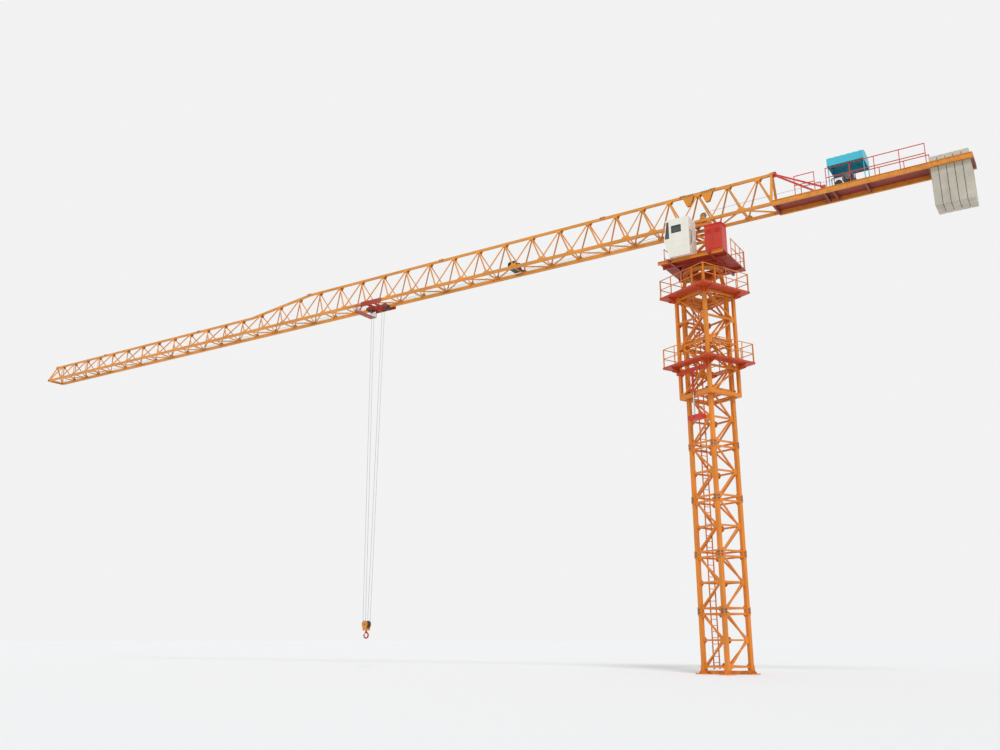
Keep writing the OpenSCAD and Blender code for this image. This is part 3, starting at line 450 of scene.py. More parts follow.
for side, bars in ((-1, [0, 2, 4]), (1, [1, 3])):
    for axis, lowest, pitch in ((0, 0.063, 0.696), (1, 0.103, 0.681)):
        out, along, centre = faces_of(CAGE_HALF + LACE / 2, CAGE_Z + lowest + pitch * np.array(bars))
        laced = (abs(out[:, axis]) > 0.5) & (out[:, 1] < 0.5)
        start = (centre + along * side * (CAGE_HALF - 0.042))[laced]
        cage_plates.append(extruded(mid_plate, on_mast(start), on_mast(along[laced] * -side), Z,
                                    on_mast(out[laced]) * PLATE_T))
piece("cage_node_plates", "mast", "yellow_paint", orange, *cage_plates, *brackets)


# Walkways and their handrails: square platforms of red-orange steel with a raised diamond
# tread, a toe board and bolted brackets, and orange rails whose posts stand on bolted feet.
def tread(name, colour, beams=None):
    """Red plate with raised diamonds a few centimetres long, worn pale on their tops.

    Further than beams from the plane y = 0, the steel is smooth and yellow-orange instead.
    """
    f = Finish(name, Specular_IOR_Level=0.4)
    x, y, z = f.parts(f.place())
    rising, falling = (abs((slant * 22.0) % 1.0 - 0.5) for slant in (x + y, x - y))
    raised = rising.maths("MAXIMUM", rising, falling).above(0.36, 9.0) * f.facing_up().above(0.6, 5.0)
    tone = f.noise(1.3, 5.0).above(0.3, 2.4)
    dirt = f.noise(9.0, 5.0, 0.65).above(0.48, 4.0)
    base = f.mix(raised * 0.35, f.mix(tone, shade(colour, 0.8), colour), linear(182, 100, 78))
    if beams:
        beside = abs(y).above(beams, 2000.0)
        raised = raised * (1.0 - beside)
        base = f.mix(beside, base, f.mix(tone, linear(206, 130, 44), linear(228, 148, 54)))
    f.look(Base_Color=f.mix(dirt * 0.4, base, linear(84, 56, 48)), Roughness=0.5 + dirt * 0.25)
    f.bump(raised, 0.002, 0.7)
    return f.material


wear(tread("cage_tread", linear(206, 78, 40)), "cage_walkways")
wear(orange, "cage_railings", "turntable_railing", "slewing_support", "slewing_tower")
WALK_HALF, WALK_Z, TOE_T, RAIL = 0.8625, np.array([7.905, 9.910]), 0.012, 0.018
FOOT_T, BETWEEN, ALL_BUT_LAST = 0.004, slice(1, -1), slice(0, -1)
small_head = [(0.0085, 0.0), (0.0095, 0.001), (0.0095, 0.006), (0.0080, 0.008)]
out, along, centre = faces_of(WALK_HALF, WALK_Z + 0.012)
piece("walkway_bolts", "mast", "bare_steel", steel,
      *[turned(small_head, on_mast(centre + along * u), on_mast(out), 6)
        for u in np.linspace(-0.50, 0.80, 8)])
foot_plate = [(-0.030, -0.017), (0.030, -0.017), (0.030, 0.0088), (-0.030, 0.0088)]
foot_head = [(0.0055, 0.0), (0.0062, 0.001), (0.0062, 0.004), (0.0050, 0.0052)]


def fence_feet(start, way, outward, length, posts, kept=slice(None)):
    """Feet of a fence's posts, evenly spaced along its way: their plates, and the bolts on them."""
    spacing = (length - RAIL) / (posts - 1)
    feet = np.asarray(start) + np.outer(RAIL / 2 + spacing * np.arange(posts)[kept], way)
    heads = np.concatenate([feet - way * 0.020, feet + way * 0.020]) - outward * 0.004 + Z * FOOT_T
    return extruded(foot_plate, feet, way, outward, Z * FOOT_T), turned(foot_head, heads, Z, 6)


def rail_feet(name, body, slot, finish, fences):
    """The feet of several fences as one piece, and their bolts as another."""
    plates, heads = zip(*(fence_feet(*fence) for fence in fences))
    piece(f"{name}_rail_feet", body, slot, finish, *plates)
    piece(f"{name}_rail_foot_bolts", body, "bare_steel", steel, *heads)


FENCE, FENCE_OUT = 2 * WALK_HALF - 2 * RAIL, WALK_HALF - TOE_T - RAIL / 2
rail_feet("cage", "mast", "yellow_paint", orange,
          [(on_mast(out * FENCE_OUT - np.cross(out, Z) * FENCE / 2 + Z * z),
            on_mast(np.cross(out, Z)), on_mast(out),
            FENCE - RAIL, 5, BETWEEN) for z in WALK_Z for out in ways])


# Climbing ram: a red cylinder that hangs on a beam of the cage, with a bright rod down to the
# crosshead. Pins with round heads join the rod and the cylinder to what they push on.
RAM_Y, ROD_R, ROD_LOW, ROD_LONG = -0.615, 0.0207, 6.497, 0.545
GLAND_Z, BAND_Z, RAM_PIN_Z = 7.040, (7.22, 7.42), 6.44
red = paint("red_paint", linear(206, 50, 28), grime=0.3, chips=0.3)
chrome = plain("bright_rod", linear(205, 207, 210), 0.14, 1.0, change=0.05, depth=0.0001)
wear(red, "climbing_ram")
piece("ram_rod", "mast", "bare_steel", chrome,
      turned([(ROD_R, 0.0), (ROD_R, ROD_LONG)], on_mast([0, RAM_Y, ROD_LOW]), Z, 40), smooth=40)
gland = [(0.034, 0.0), (0.0385, 0.004), (0.0385, 0.030), (0.036, 0.034), (0.0345, 0.040)]
band = [(0.0332, 0.0), (0.0365, 0.003), (0.0365, 0.025), (0.0332, 0.028)]
piece("ram_fittings", "mast", "black_paint", steel, turned(gland, on_mast([0, RAM_Y, GLAND_Z]), Z, 32),
      turned(band, on_mast(points_at(0, RAM_Y, BAND_Z)), Z, 32),
      turned([(0.016, -0.055), (0.016, 0.055)], on_mast([0, RAM_Y, RAM_PIN_Z]), on_mast(Y), 20), smooth=40)


# Slewing ring: the fixed ring on its orange support has teeth cut round its rim, and bolts
# through the seat under it. Above it, the red turntable carries the two drive pinions.
def toothed(radius, depth, teeth, steps, sharp):
    """Outline of a gear: a circle whose radius grows by the depth at each tooth, on a clipped cosine."""
    turn = 2 * np.pi * np.arange(teeth * steps) / (teeth * steps)
    r = radius + depth * np.clip(0.5 + sharp * np.cos(turn * teeth), 0.0, 1.0)
    return r[:, None] * np.c_[np.cos(turn), np.sin(turn)]


def around(count, across, up, first=0.5):
    """Ways that point out from an axis, evenly spaced round it. The first is part of a step from across."""
    a = 2 * np.pi * (np.arange(count) + first) / count
    return np.outer(np.cos(a), across) + np.outer(np.sin(a), up)


def box(a, b):
    """A block between two opposite corners."""
    (x0, y0, z0), (x1, y1, z1) = np.minimum(a, b), np.maximum(a, b)
    return extruded([(x0, y0), (x1, y0), (x1, y1), (x0, y1)], Z * z0, X, Y, Z * (z1 - z0))


GEAR_LOW, GEAR_HIGH, SEAT_R, SEAT_Z = 10.607, 10.643, 0.512, 10.52
grease = plain("greased_teeth", linear(62, 58, 52), 0.3, 0.8)
crown, inner = toothed(0.496, 0.0075, 150, 6, 1.6), toothed(0.488, 0.0, 150, 6, 1.6)
rings = [points_at(*line.T, z) for line, z in ((inner, GEAR_LOW), (crown, GEAR_LOW), (crown, GEAR_HIGH),
                                               (inner, GEAR_HIGH))]
piece("ring_teeth", "mast", "bare_steel", grease, (np.concatenate(rings), skin(4, len(crown), closed=True)))
piece("ring_bolts", "mast", "bare_steel", steel,
      turned(hex_head, around(36, X, Y) * SEAT_R + Z * SEAT_Z, -Z, 6))
DRIVE_X, PINION_H = 0.548, 0.05
piece("pinion_teeth", "upper", "bare_steel", grease,
      extruded(toothed(0.0405, 0.0030, 14, 8, 1.3),
               points_at([-DRIVE_X, DRIVE_X], 0, GEAR_LOW), X, Y, Z * PINION_H))
FASCIA_Y, FASCIA_T, FASCIA_LOW, FASCIA_TOP, FLANGE_T = -0.925, 0.010, 10.700, 10.798, 0.008
fascias = []
for x0, x1 in ((-0.925, -0.602), (-0.538, 0.538), (0.602, 0.925)):
    front = FASCIA_Y - FASCIA_T
    fascias.append(box((x0, front, FASCIA_LOW), (x1, FASCIA_Y, FASCIA_TOP)))
    fascias += [box((x0, front - 0.022, z), (x1, front, z + FLANGE_T))
                for z in (FASCIA_LOW, FASCIA_TOP - FLANGE_T)]
piece("walkway_fascia", "upper", "yellow_paint", orange, *fascias)
deck_red = paint("dark_red_paint", linear(164, 54, 38), grime=0.35, chips=0.4)
wear(deck_red, "turntable")
wear(tread("turntable_tread", linear(176, 64, 40)), "turntable_walkway")
FLOOR_Z, RAIL_AT, SIDE_GAP, BACK_END = 10.80, 0.907, 0.700, -0.500
rail_feet("platform", "upper", "yellow_paint", orange,
          [((RAIL_AT, SIDE_GAP - RAIL_AT, FLOOR_Z), Y, X, 2 * RAIL_AT - SIDE_GAP, 4, ALL_BUT_LAST),
           ((-RAIL_AT, RAIL_AT, FLOOR_Z), X, Y, 2 * RAIL_AT - RAIL, 5, BETWEEN),
           ((-RAIL_AT, BACK_END, FLOOR_Z), Y, -X, RAIL_AT - BACK_END - RAIL, 4, ALL_BUT_LAST)])


# Slewing motors: two upright electric motors on gearboxes, bolted through the platform. Each
# has a flange with bolts, cooling fins, a domed fan cover and a box for its cables.
def fins_round(outline, centre, spokes, axis, thick):
    """Cooling fins: a flat outline of distances out and along, stood on a motor along each spoke."""
    return extruded(outline, centre, spokes, axis, np.cross(axis, spokes) * thick)


black = paint("black_paint", linear(44, 45, 48), grime=0.25, chips=0.2, rough=0.38)
wear(black, "slewing_motors")
motors = points_at([-DRIVE_X, DRIVE_X], 0, FLOOR_Z)
upright_fin = [(0.058, 0.262), (0.071, 0.262), (0.071, 0.415), (0.058, 0.415)]
cover = [(0.0715, 0.418), (0.0715, 0.462), (0.064, 0.478), (0.045, 0.487), (0.012, 0.490)]
piece("motor_fins", "upper", "black_paint", black,
      *[fins_round(upright_fin, m, around(22, X, Y), Z, 0.004) for m in motors],
      turned(cover, motors, Z, 40),
      *[box(m + [0.060, -0.035, 0.30], m + [0.105, 0.035, 0.385]) for m in motors],
      smooth=35)
flange = (motors[:, None] + around(8, X, Y, first=0) * 0.083 + Z * 0.030).reshape(-1, 3)
collar = [(0.0768, 0.225), (0.081, 0.228), (0.081, 0.246), (0.062, 0.250)]
piece("motor_bolts", "upper", "bare_steel", steel,
      turned(small_head, flange, Z, 6), turned(collar, motors, Z, 40))


# Slewing tower: four square posts with laced sides between the platform and the jib's head.
# Plates stiffen the nodes, and a thick pin through each post's top holds the head.
TOWER_X, TOWER_Y, TOWER_TOP = 0.405, 0.325, 11.962
pins = every([-TOWER_X, TOWER_X], [-TOWER_Y, TOWER_Y], [TOWER_TOP - 0.07])
pin = [(0.020, -0.053), (0.028, -0.050), (0.028, -0.046), (0.028, 0.046), (0.028, 0.050), (0.020, 0.053)]
piece("tower_pins", "upper", "bare_steel", steel, turned(pin, pins, Y, 20), smooth=40)
piece("tower_node_plates", "upper", "yellow_paint", orange,
      *[extruded(shape, [side * (TOWER_X - 0.047), out * (TOWER_Y + 0.031), z],
                 X * -side, Z * way, Y * out * PLATE_T)
        for out in (-1, 1)
        for z, side, way, shape in ((10.852, -1, 1, end_plate), (11.366, 1, 1, mid_plate),
                                    (11.880, -1, -1, end_plate))])


# Cab: a white sheet-steel box with a raked windscreen, hung on brackets beside the tower. The
# panes sit in black rubber, and inside are a moulded seat and two consoles with levers.
CAB_X, CAB_Y, CAB_REAR, CAB_W, CAB_H = -0.660, -1.065, 0.065, 0.525, 1.100
CAB_Y1, CAB_ROOF, KNEE = CAB_Y + CAB_W, FLOOR_Z + CAB_H, FLOOR_Z + CAB_H * 0.47
SCREEN, LOWER_PANE, QUARTER_BACK = (11.361, 11.830), (10.890, 11.273), CAB_X + 0.150
white = paint("white_paint", linear(232, 229, 217), grime=0.22, chips=0.12, rough=0.34, fade=0.06)
rubber = plain("black_rubber", linear(34, 34, 36), 0.7)
wear(white, "cab_shell", "cab_door")
glass = Finish("tinted_glass", Base_Color=linear(70, 84, 90), Roughness=0.06, Metallic=0.0,
               IOR=1.5, Coat_Weight=0.6)
glass.look(Alpha=0.62 - glass.noise(2.0) * 0.08)
wear(glass.material, "cab_windows")


def front_x(z):
    """The front face's x at a height: it leans out from the foot to the knee, and back to the roof."""
    return np.interp(z, [FLOOR_Z, KNEE, CAB_ROOF], [CAB_X + 0.130, CAB_X, CAB_X + 0.085])


def tube(path, radius, sides=8):
    """A round section carried along a path, square to it at each point, with flat ends."""
    path = np.asarray(path, float)
    ahead = unit(np.gradient(path, axis=0))
    across = unit(np.cross(np.eye(3)[np.argmin(np.abs(ahead).sum(0))], ahead))
    a, i = 2 * np.pi * np.arange(sides)[:, None] / sides, np.arange(sides)[None]
    spokes = np.cos(a) * across[:, None] + np.sin(a) * np.cross(ahead, across)[:, None]
    points = path[:, None] + radius * spokes
    return points.reshape(-1, 3), skin(len(path), sides), i[:, ::-1], (len(path) - 1) * sides + i


def seal(points, out, size=0.016):
    """A rubber section that follows a closed loop of points on a face, standing a little out of it."""
    points = np.asarray(points, float)
    after, before = np.roll(points, -1, 0), np.roll(points, 1, 0)
    corner = unit(unit(points - before) + unit(points - after)) * size
    lift = unit(out) * 0.006
    rows = [points - corner - lift, points - corner + lift,
            points + corner * 0.4 + lift, points + corner * 0.4 - lift]
    return np.concatenate(rows), skin(4, len(points), closed=True)


def front_pane(z0, z1):
    """The corners of a pane of the front face, between two heights."""
    y0, y1 = CAB_Y + 0.050, CAB_Y1 - 0.050
    return [(front_x(z0), y0, z0), (front_x(z0), y1, z0), (front_x(z1), y1, z1), (front_x(z1), y0, z1)]


def side_pane(low_x, high_x, back_x, y, z0, z1):
    """The corners of a pane of a side face, whose front edge leans from low_x to high_x."""
    return [(low_x, y, z0), (back_x, y, z0), (back_x, y, z1), (high_x, y, z1)]


quarter_x = [front_x(z) + 0.030 for z in SCREEN]
wiper_foot = np.array([front_x(11.375) - 0.012, CAB_Y + 0.20, 11.375])
wiper_tip = np.array([front_x(11.68) - 0.012, CAB_Y + 0.30, 11.68])
piece("cab_seals", "upper", "black_paint", rubber,
      seal(front_pane(*SCREEN), [-1, 0, 0.2]), seal(front_pane(*LOWER_PANE), [-1, 0, -0.2]),
      seal(side_pane(CAB_X + 0.230, CAB_X + 0.230, CAB_X + 0.500, CAB_Y, 11.5, 11.7), -Y),
      seal(side_pane(CAB_X + 0.180, CAB_X + 0.180, CAB_X + 0.600, CAB_Y1, 11.28, 11.78), Y),
      seal(side_pane(*quarter_x, QUARTER_BACK, CAB_Y, *SCREEN), -Y, 0.010),
      seal(side_pane(*quarter_x, QUARTER_BACK, CAB_Y1, *SCREEN), Y, 0.010),
      tube(np.linspace(wiper_foot, wiper_tip, 4), 0.005),
      tube(np.linspace(wiper_tip - [0, 0.004, 0.20], wiper_tip + [0, 0.004, 0.06], 4), 0.006),
      turned([(0.012, 0.0), (0.012, 0.022)], wiper_foot + X * 0.010, -X, 12))
rib = [(-0.018, 0.0), (0.018, 0.0), (0.010, 0.007), (-0.010, 0.007)]
peak = [(0.0, 0.0), (-0.050, -0.004), (-0.052, -0.014), (0.0, -0.012)]
bead = [(0.0, 0.0), (-0.0035, 0.004), (-0.0035, 0.012), (0.0, 0.016)]
rib_x = CAB_REAR - np.array([0.10, 0.24, 0.38, 0.52])
BEAD_Z, HINGE_Z = (11.045, 11.225), (11.02, 11.36, 11.66)
piece("cab_trim", "upper", "white_paint", white,
      extruded(rib, points_at(rib_x, CAB_Y + 0.04, CAB_ROOF - 0.001), X, Z, Y * (CAB_W - 0.08)),
      extruded(peak, [CAB_X + 0.087, CAB_Y + 0.01, CAB_ROOF], X, Z, Y * (CAB_W - 0.02)),
      *[extruded(bead, [front_x(z) + 0.03, y, z], Y * inwards, Z, X * (CAB_REAR - front_x(z) - 0.06))
        for y, inwards in ((CAB_Y, 1), (CAB_Y1, -1)) for z in BEAD_Z],
      turned([(0.010, -0.03), (0.010, 0.03)], points_at(CAB_REAR + 0.004, CAB_Y + 0.094, HINGE_Z), Z, 12))
grab = points_at(CAB_REAR + np.array([-0.001, 0.045, 0.050, 0.045, -0.001]), CAB_Y + 0.045,
                 [11.1, 11.13, 11.3, 11.47, 11.5])
piece("cab_grab_rail", "upper", "black_paint", black, tube(grab, 0.009, 10), smooth=60)
t = np.linspace(0, 1, 9)
seat_line = np.r_[np.c_[np.linspace(-0.36, -0.14, 6), 0.42 + 0.018 * np.cos(np.linspace(0, 5, 6))],
                  np.c_[-0.11 + 0.05 * t, 0.44 + 0.36 * t]]
seat_post = [(0.09, 0.021), (0.04, 0.05), (0.03, 0.40), (0.08, 0.415)]
piece("driver_seat", "upper", "black_paint", plain("seat_moulding", linear(52, 54, 58), 0.6),
      extruded(np.r_[seat_line, seat_line[::-1] + [0.028, -0.030]], [0, CAB_Y + 0.15, FLOOR_Z],
               X, Z, Y * 0.225),
      turned(seat_post, [-0.24, CAB_Y + 0.262, FLOOR_Z], Z, 20), smooth=40, bevel=0.006)
lever = [(0.006, 0.0), (0.005, 0.09), (0.014, 0.10), (0.016, 0.125), (0.010, 0.14)]
console_y, CONSOLE_W, CONSOLE_H = CAB_Y + np.array([0.045, 0.395]), 0.085, 0.50
piece("driver_consoles", "upper", "black_paint", black,
      *[box((-0.40, y, FLOOR_Z + 0.021), (-0.18, y + CONSOLE_W, FLOOR_Z + CONSOLE_H)) for y in console_y],
      turned(lever, points_at(-0.34, console_y + CONSOLE_W / 2, FLOOR_Z + CONSOLE_H), Z, 12), bevel=0.005)


# Control cabinet: a red sheet-steel box on the platform behind the cab. It has two doors with
# hinges and handles, slots for air, and a rain lip round its roof.
CASE_X, CASE_Y, CASE_TOP, DOOR_W = (0.440, 0.915), -0.905, 11.55, 0.222
wear(red, "control_cabinet")
slat_x, slat_z = every([CASE_X[0] + 0.045, CASE_X[0] + 0.275], CASE_TOP - 0.12 - 0.022 * np.arange(6)).T
slat = [(0.0, 0.0), (-0.008, -0.006), (-0.008, -0.010), (0.0, -0.014)]
piece("cabinet_doors", "upper", "red_paint", red,
      *[box((x, CASE_Y - 0.007, FLOOR_Z + 0.04), (x + DOOR_W, CASE_Y + 0.001, CASE_TOP - 0.03))
        for x in (CASE_X[0] + 0.012, CASE_X[0] + 0.241)],
      extruded(slat, points_at(slat_x, CASE_Y - 0.006, slat_z), Y, Z, X * 0.155))
knuckle = [[x, CASE_Y - 0.004, z] for x in (CASE_X[0] + 0.008, CASE_X[1] - 0.008)
           for z in (10.92, 11.17, 11.42)]
latch = [(-0.006, 0), (0.006, 0), (0.006, 0.075), (-0.006, 0.075)]
piece("cabinet_latches", "upper", "bare_steel", steel,
      turned([(0.008, -0.025), (0.008, 0.025)], knuckle, Z, 10),
      extruded(latch, points_at(CASE_X[0] + np.array([0.215, 0.263]), CASE_Y - 0.020, 11.13),
               X, Z, Y * 0.015))


# Jib: a three-chord lattice in seven lengths, apex up. Each length is welded, with a plate at
# every node, and pins through the lugs of all three chords join it to the next one.
JIB_Z, CHORD_TOP, STATIONS = 12.0, 12.038, [-0.4495, 0.4495, 3.0, 9.0, 15.0, 21.0, 27.0, 30.5]
yellow = paint("yellow_orange_paint", linear(221, 144, 44), grime=0.42, chips=0.75)
wear(yellow, "jib_head", "jib_end_frame", "counter_jib_root", *[f"jib_section_{i}" for i in range(1, 7)])


def depth_at(s):
    """Depth between the chords' centres: full as far as the fourth length, and less past the taper."""
    return np.interp(s, [15.0, 18.0], [1.0, 0.665])


def side_plates(shape, s, side, y, z):
    """Plates that lie on one leaning side of the jib, at distances s from the mast's axis."""
    lean = unit(points_at(0, -side * 0.287, depth_at(s) - 0.073))
    outward = np.cross(lean, X) * side
    return extruded(shape, points_at(-s, side * y, z) + outward * 0.017, X, lean, outward * PLATE_T)


lower_plate = [(-0.135, -0.004), (0.135, -0.004), (0.095, 0.050), (0.045, 0.095),
               (-0.045, 0.095), (-0.095, 0.050)]
upper_plate = [(-0.120, 0.004), (0.120, 0.004), (0.080, -0.048), (0.040, -0.085),
               (-0.040, -0.085), (-0.080, -0.048)]
nodes, peaks = [], []
for s0, s1 in zip(STATIONS[:-1] + [-2.15], STATIONS[1:] + [-0.4505]):
    panels = max(1, round(s1 - s0))
    step = (s1 - s0) / panels
    nodes += [s0 + step * n for n in range(1, panels)]
    peaks += [s0 + step * (n + 0.5) for n in range(panels)]
nodes, peaks = np.array(nodes), np.array(peaks)
piece("jib_node_plates", "upper", "yellow_paint", yellow,
      *[side_plates(lower_plate, nodes, side, 0.317, CHORD_TOP) for side in (-1, 1)])
piece("jib_apex_plates", "upper", "yellow_paint", yellow,
      *[side_plates(upper_plate, peaks, side, 0.030, JIB_Z + depth_at(peaks) - 0.035) for side in (-1, 1)])
small_pin = [(0.012, 0.0), (0.022, 0.002), (0.022, 0.012), (0.018, 0.016)]
ends = np.add.outer([-0.045, 0.045], STATIONS[1:-1] + [-0.45]).ravel()
pins = []
for side in (-1, 1):
    pins.append(turned(small_pin, points_at(-ends, side * 0.274, JIB_Z), Y * -side, 16))
    pins.append(turned(small_pin, points_at(-ends, side * 0.0485, JIB_Z + depth_at(ends) + 0.012),
                       Y * side, 16))
piece("jib_pins", "upper", "bare_steel", steel, *pins, smooth=40)
bolt_x = np.outer([-1, 1], [0.15, 0.21, 0.27, 0.33]).ravel()
piece("head_bolts", "upper", "bare_steel", steel,
      *[turned(hex_head, points_at(bolt_x, side * 0.0465, z), Y * side, 6)
        for side in (-1, 1) for z in (12.983, 13.017)])


# End of the jib: a closed frame with two rope wheels and rubber stops for the trolley. The
# wheels have grooved steel rims and plain hubs.
TIP_X, ROPE_Z, STOP_X = -30.56, 11.954, -30.486
rim = [(0.052, -0.013), (0.059, -0.013), (0.059, -0.009), (0.0555, -0.004), (0.0555, 0.004), (0.059, 0.009),
       (0.059, 0.013), (0.052, 0.013)]
wheels = points_at(TIP_X, [-0.09, 0.09], ROPE_Z + 0.06)
piece("tip_wheel_rims", "upper", "bare_steel", steel, turned(rim, wheels, Y, 40, bored=True),
      turned([(0.026, -0.016), (0.026, 0.016)], wheels, Y, 20), smooth=30)
piece("jib_stops", "upper", "yellow_paint", yellow,
      *[box((STOP_X - 0.012, side * 0.362, 11.963), (STOP_X, side * 0.392, 12.030)) for side in (-1, 1)])
buffer = [(0.018, 0.0), (0.018, 0.010), (0.013, 0.014), (0.013, 0.042), (0.010, 0.050)]
piece("jib_buffers", "upper", "black_paint", rubber,
      turned(buffer, points_at(STOP_X - 0.001, [-0.377, 0.377], 11.996), X, 20), smooth=40)


# Head sheaves: the hoist rope comes forward from its drum over one grooved wheel and under a
# second, and out along the jib. The hauling rope turns back round a smaller wheel beside them.
def sheave(radius, width):
    """Profile of a grooved wheel: a thick hub, a thin web and a rim that stands up on both sides."""
    half = width / 2
    side = [(0.016, -half - 0.004), (0.032, -half - 0.004), (0.036, -0.005), (radius - 0.014, -0.005),
            (radius - 0.010, -half), (radius + 0.008, -half), (radius, -0.003)]
    return side + [(r, -h) for r, h in side[::-1]]


LEAD_Y, WHEEL_R, BACK_R = 0.060, 0.085, 0.0595
over, under = np.array([0.100, LEAD_Y, 12.330]), np.array([-0.078, LEAD_Y, 12.043])
back = np.array([0.200, -LEAD_Y, ROPE_Z + BACK_R])
piece("head_sheaves", "upper", "bare_steel", steel,
      turned(sheave(WHEEL_R, 0.024), [over, under], Y, 40, bored=True),
      turned(sheave(0.0555, 0.022), back, Y, 32, bored=True), smooth=30)
piece("head_sheave_pins", "upper", "bare_steel", steel,
      turned([(0.016, -0.034), (0.016, 0.034)], [over, under, back], Y, 20), smooth=40)
CHEEK_FOOT, CHEEK_T = 12.0367, 0.008
cheek = [(-0.175, CHEEK_FOOT), (-0.122, CHEEK_FOOT), (-0.110, 12.012), (-0.046, 12.012), (-0.034, CHEEK_FOOT),
         (0.175, CHEEK_FOOT), (0.175, 12.085), (0.132, 12.362), (0.068, 12.362),
         (-0.112, 12.110), (-0.175, 12.085)]
keeper = [(0.165, 11.985), (0.235, 11.985), (0.235, 12.085), (0.165, 12.085)]
piece("head_sheave_frame", "upper", "yellow_paint", yellow,
      *[extruded(shape, points_at(0, y + np.array([-0.029, 0.021]), 0), X, Z, Y * CHEEK_T)
        for shape, y in ((cheek, LEAD_Y), (keeper, -LEAD_Y))],
      *[box((x, -0.350, CHEEK_FOOT), (x + 0.050, 0.350, CHEEK_FOOT + 0.030)) for x in (-0.175, 0.125)])


# Trolley winch: a small electric winch across the jib's bottom frame. Its drum carries a few
# turns of thin rope between its plates, and a finned motor stands on one end.
def rope_finish(name, colour):
    """Bright wire rope: strands laid at a slant, read from the distance along and round the rope, with
    painted shade darkening the grooves between them.
    """
    f = Finish(name, Metallic=0.85)
    x, y, z = f.parts(f.place())
    strand = abs(((x + y * 1.7 + z) * 55.0) % 1.0 - 0.5) * 2.0
    # Painted shade: the sunk grooves between the strands get half the colour.
    f.look(Base_Color=f.mix(strand, shade(colour, 0.5), colour), Roughness=0.35 + strand * 0.2)
    f.bump(strand, 0.001)
    return f.material


def windings(core, wire, width, turns):
    """Profile of turns of wire side by side on a drum: half circles of the wire's radius on the core."""
    a, half = np.linspace(0, np.pi, 5)[:-1], width / turns / 2
    centre = (2 * np.arange(turns) + 1) * half - width / 2
    rows = np.c_[np.tile(core + wire * np.sin(a), turns), (centre[:, None] - half * np.cos(a)).ravel()]
    return np.r_[rows, [(core, width / 2)]]


def quarter(centre, radius, start, count=10):
    """Points on a quarter circle in the XZ plane, clockwise as seen from -Y, from an angle in degrees."""
    t = np.radians(start) - np.linspace(0, np.pi / 2, count)
    return centre + radius * points_at(np.cos(t), 0, np.sin(t))


rope, ROPE_R, ROPE_END = rope_finish("wire_rope", linear(128, 128, 126)), 0.004, -0.47
wear(rope, "jib_ropes")
wear(black, "trolley_winch")
winch = np.array([-6.1, 0.0, 12.1763])
piece("trolley_winch_rope", "upper", "bare_steel", rope,
      turned(windings(0.0902, 0.006, 0.176, 15), winch - Y * 0.065, Y, 32), smooth=40)
haul_end = winch + [0, -LEAD_Y, -0.0962]
haul = [[ROPE_END, -LEAD_Y, ROPE_Z], [-0.10, -LEAD_Y, ROPE_Z], *quarter(back, BACK_R, 0)[::-1],
        *quarter(back, BACK_R, 90)[::-1][1:], back + [-0.3, 0, BACK_R],
        (back + haul_end + Z * BACK_R) / 2, haul_end]
piece("hauling_rope", "upper", "bare_steel", rope, tube(haul, ROPE_R), smooth=60)
winch_fin = [(0.068, 0.0), (0.080, 0.0), (0.080, 0.120), (0.068, 0.120)]
piece("trolley_winch_fins", "upper", "black_paint", black,
      fins_round(winch_fin, winch + Y * 0.066, around(18, X, Z), Y, 0.005),
      turned([(0.077, 0.200), (0.077, 0.220), (0.060, 0.228)], winch, Y, 32),
      turned([(0.030, -0.212), (0.046, -0.206), (0.052, -0.189)], winch, Y, 24),
      box(winch + [-0.168, -0.20, -0.1245], winch + [-0.134, 0.05, 0.06]), bevel=0.004)


# Counter-jib: a short deep lattice, then two yellow-orange beams with a dark red deck, held up
# by two red tie bars. Pins in round eyes hold the bars at the lattice's top and at the deck.
DECK_TOP, BEAM_Y, BEAM_FACE = 12.070, 0.340, 0.366
wear(red, "counter_jib_ties", "counter_jib_railing")
wear(tread("deck_tread", linear(146, 58, 48), beams=0.3145), "counter_jib_deck")
eyes = [[x, side * y, z] for side in (-1, 1)
        for x, y, z in ((2.190, 0.034, 12.980), (3.500, BEAM_Y, DECK_TOP + 0.045))]
eye_ring = [(0.012, -0.034), (0.030, -0.034), (0.034, -0.030), (0.034, 0.030), (0.030, 0.034), (0.012, 0.034)]
eye_pin = [(0.014, -0.048), (0.018, -0.046), (0.018, -0.036), (0.018, 0.036), (0.018, 0.046), (0.014, 0.048)]
piece("tie_eyes", "upper", "red_paint", red, turned(eye_ring, eyes, Y, 24, bored=True), smooth=40)
piece("tie_pins", "upper", "bare_steel", steel, turned(eye_pin, eyes, Y, 16), smooth=40)
web = [(0.0, -0.062), (0.012, -0.062), (0.012, 0.062), (0.0, 0.062)]
beam_edges = []
for side in (-1, 1):
    web_foot = points_at(np.arange(2.6, 6.9, 0.5), side * (BEAM_FACE - 0.0005), JIB_Z)
    beam_edges.append(extruded(web, web_foot, Y * side, Z, X * 0.010))
    beam_edges += [box((2.16, side * BEAM_FACE, z), (6.995, side * (BEAM_FACE + 0.014), z + 0.009))
                   for z in (11.931, 12.060)]
piece("deck_beam_flanges", "upper", "yellow_paint", yellow, *beam_edges)
rail_feet("deck", "upper", "red_paint", red,
          [((x, side * BEAM_Y, DECK_TOP), X, Y * side, length, posts)
           for side in (-1, 1) for x, length, posts in ((2.770, 0.530, 2), (3.580, 2.410, 5))])


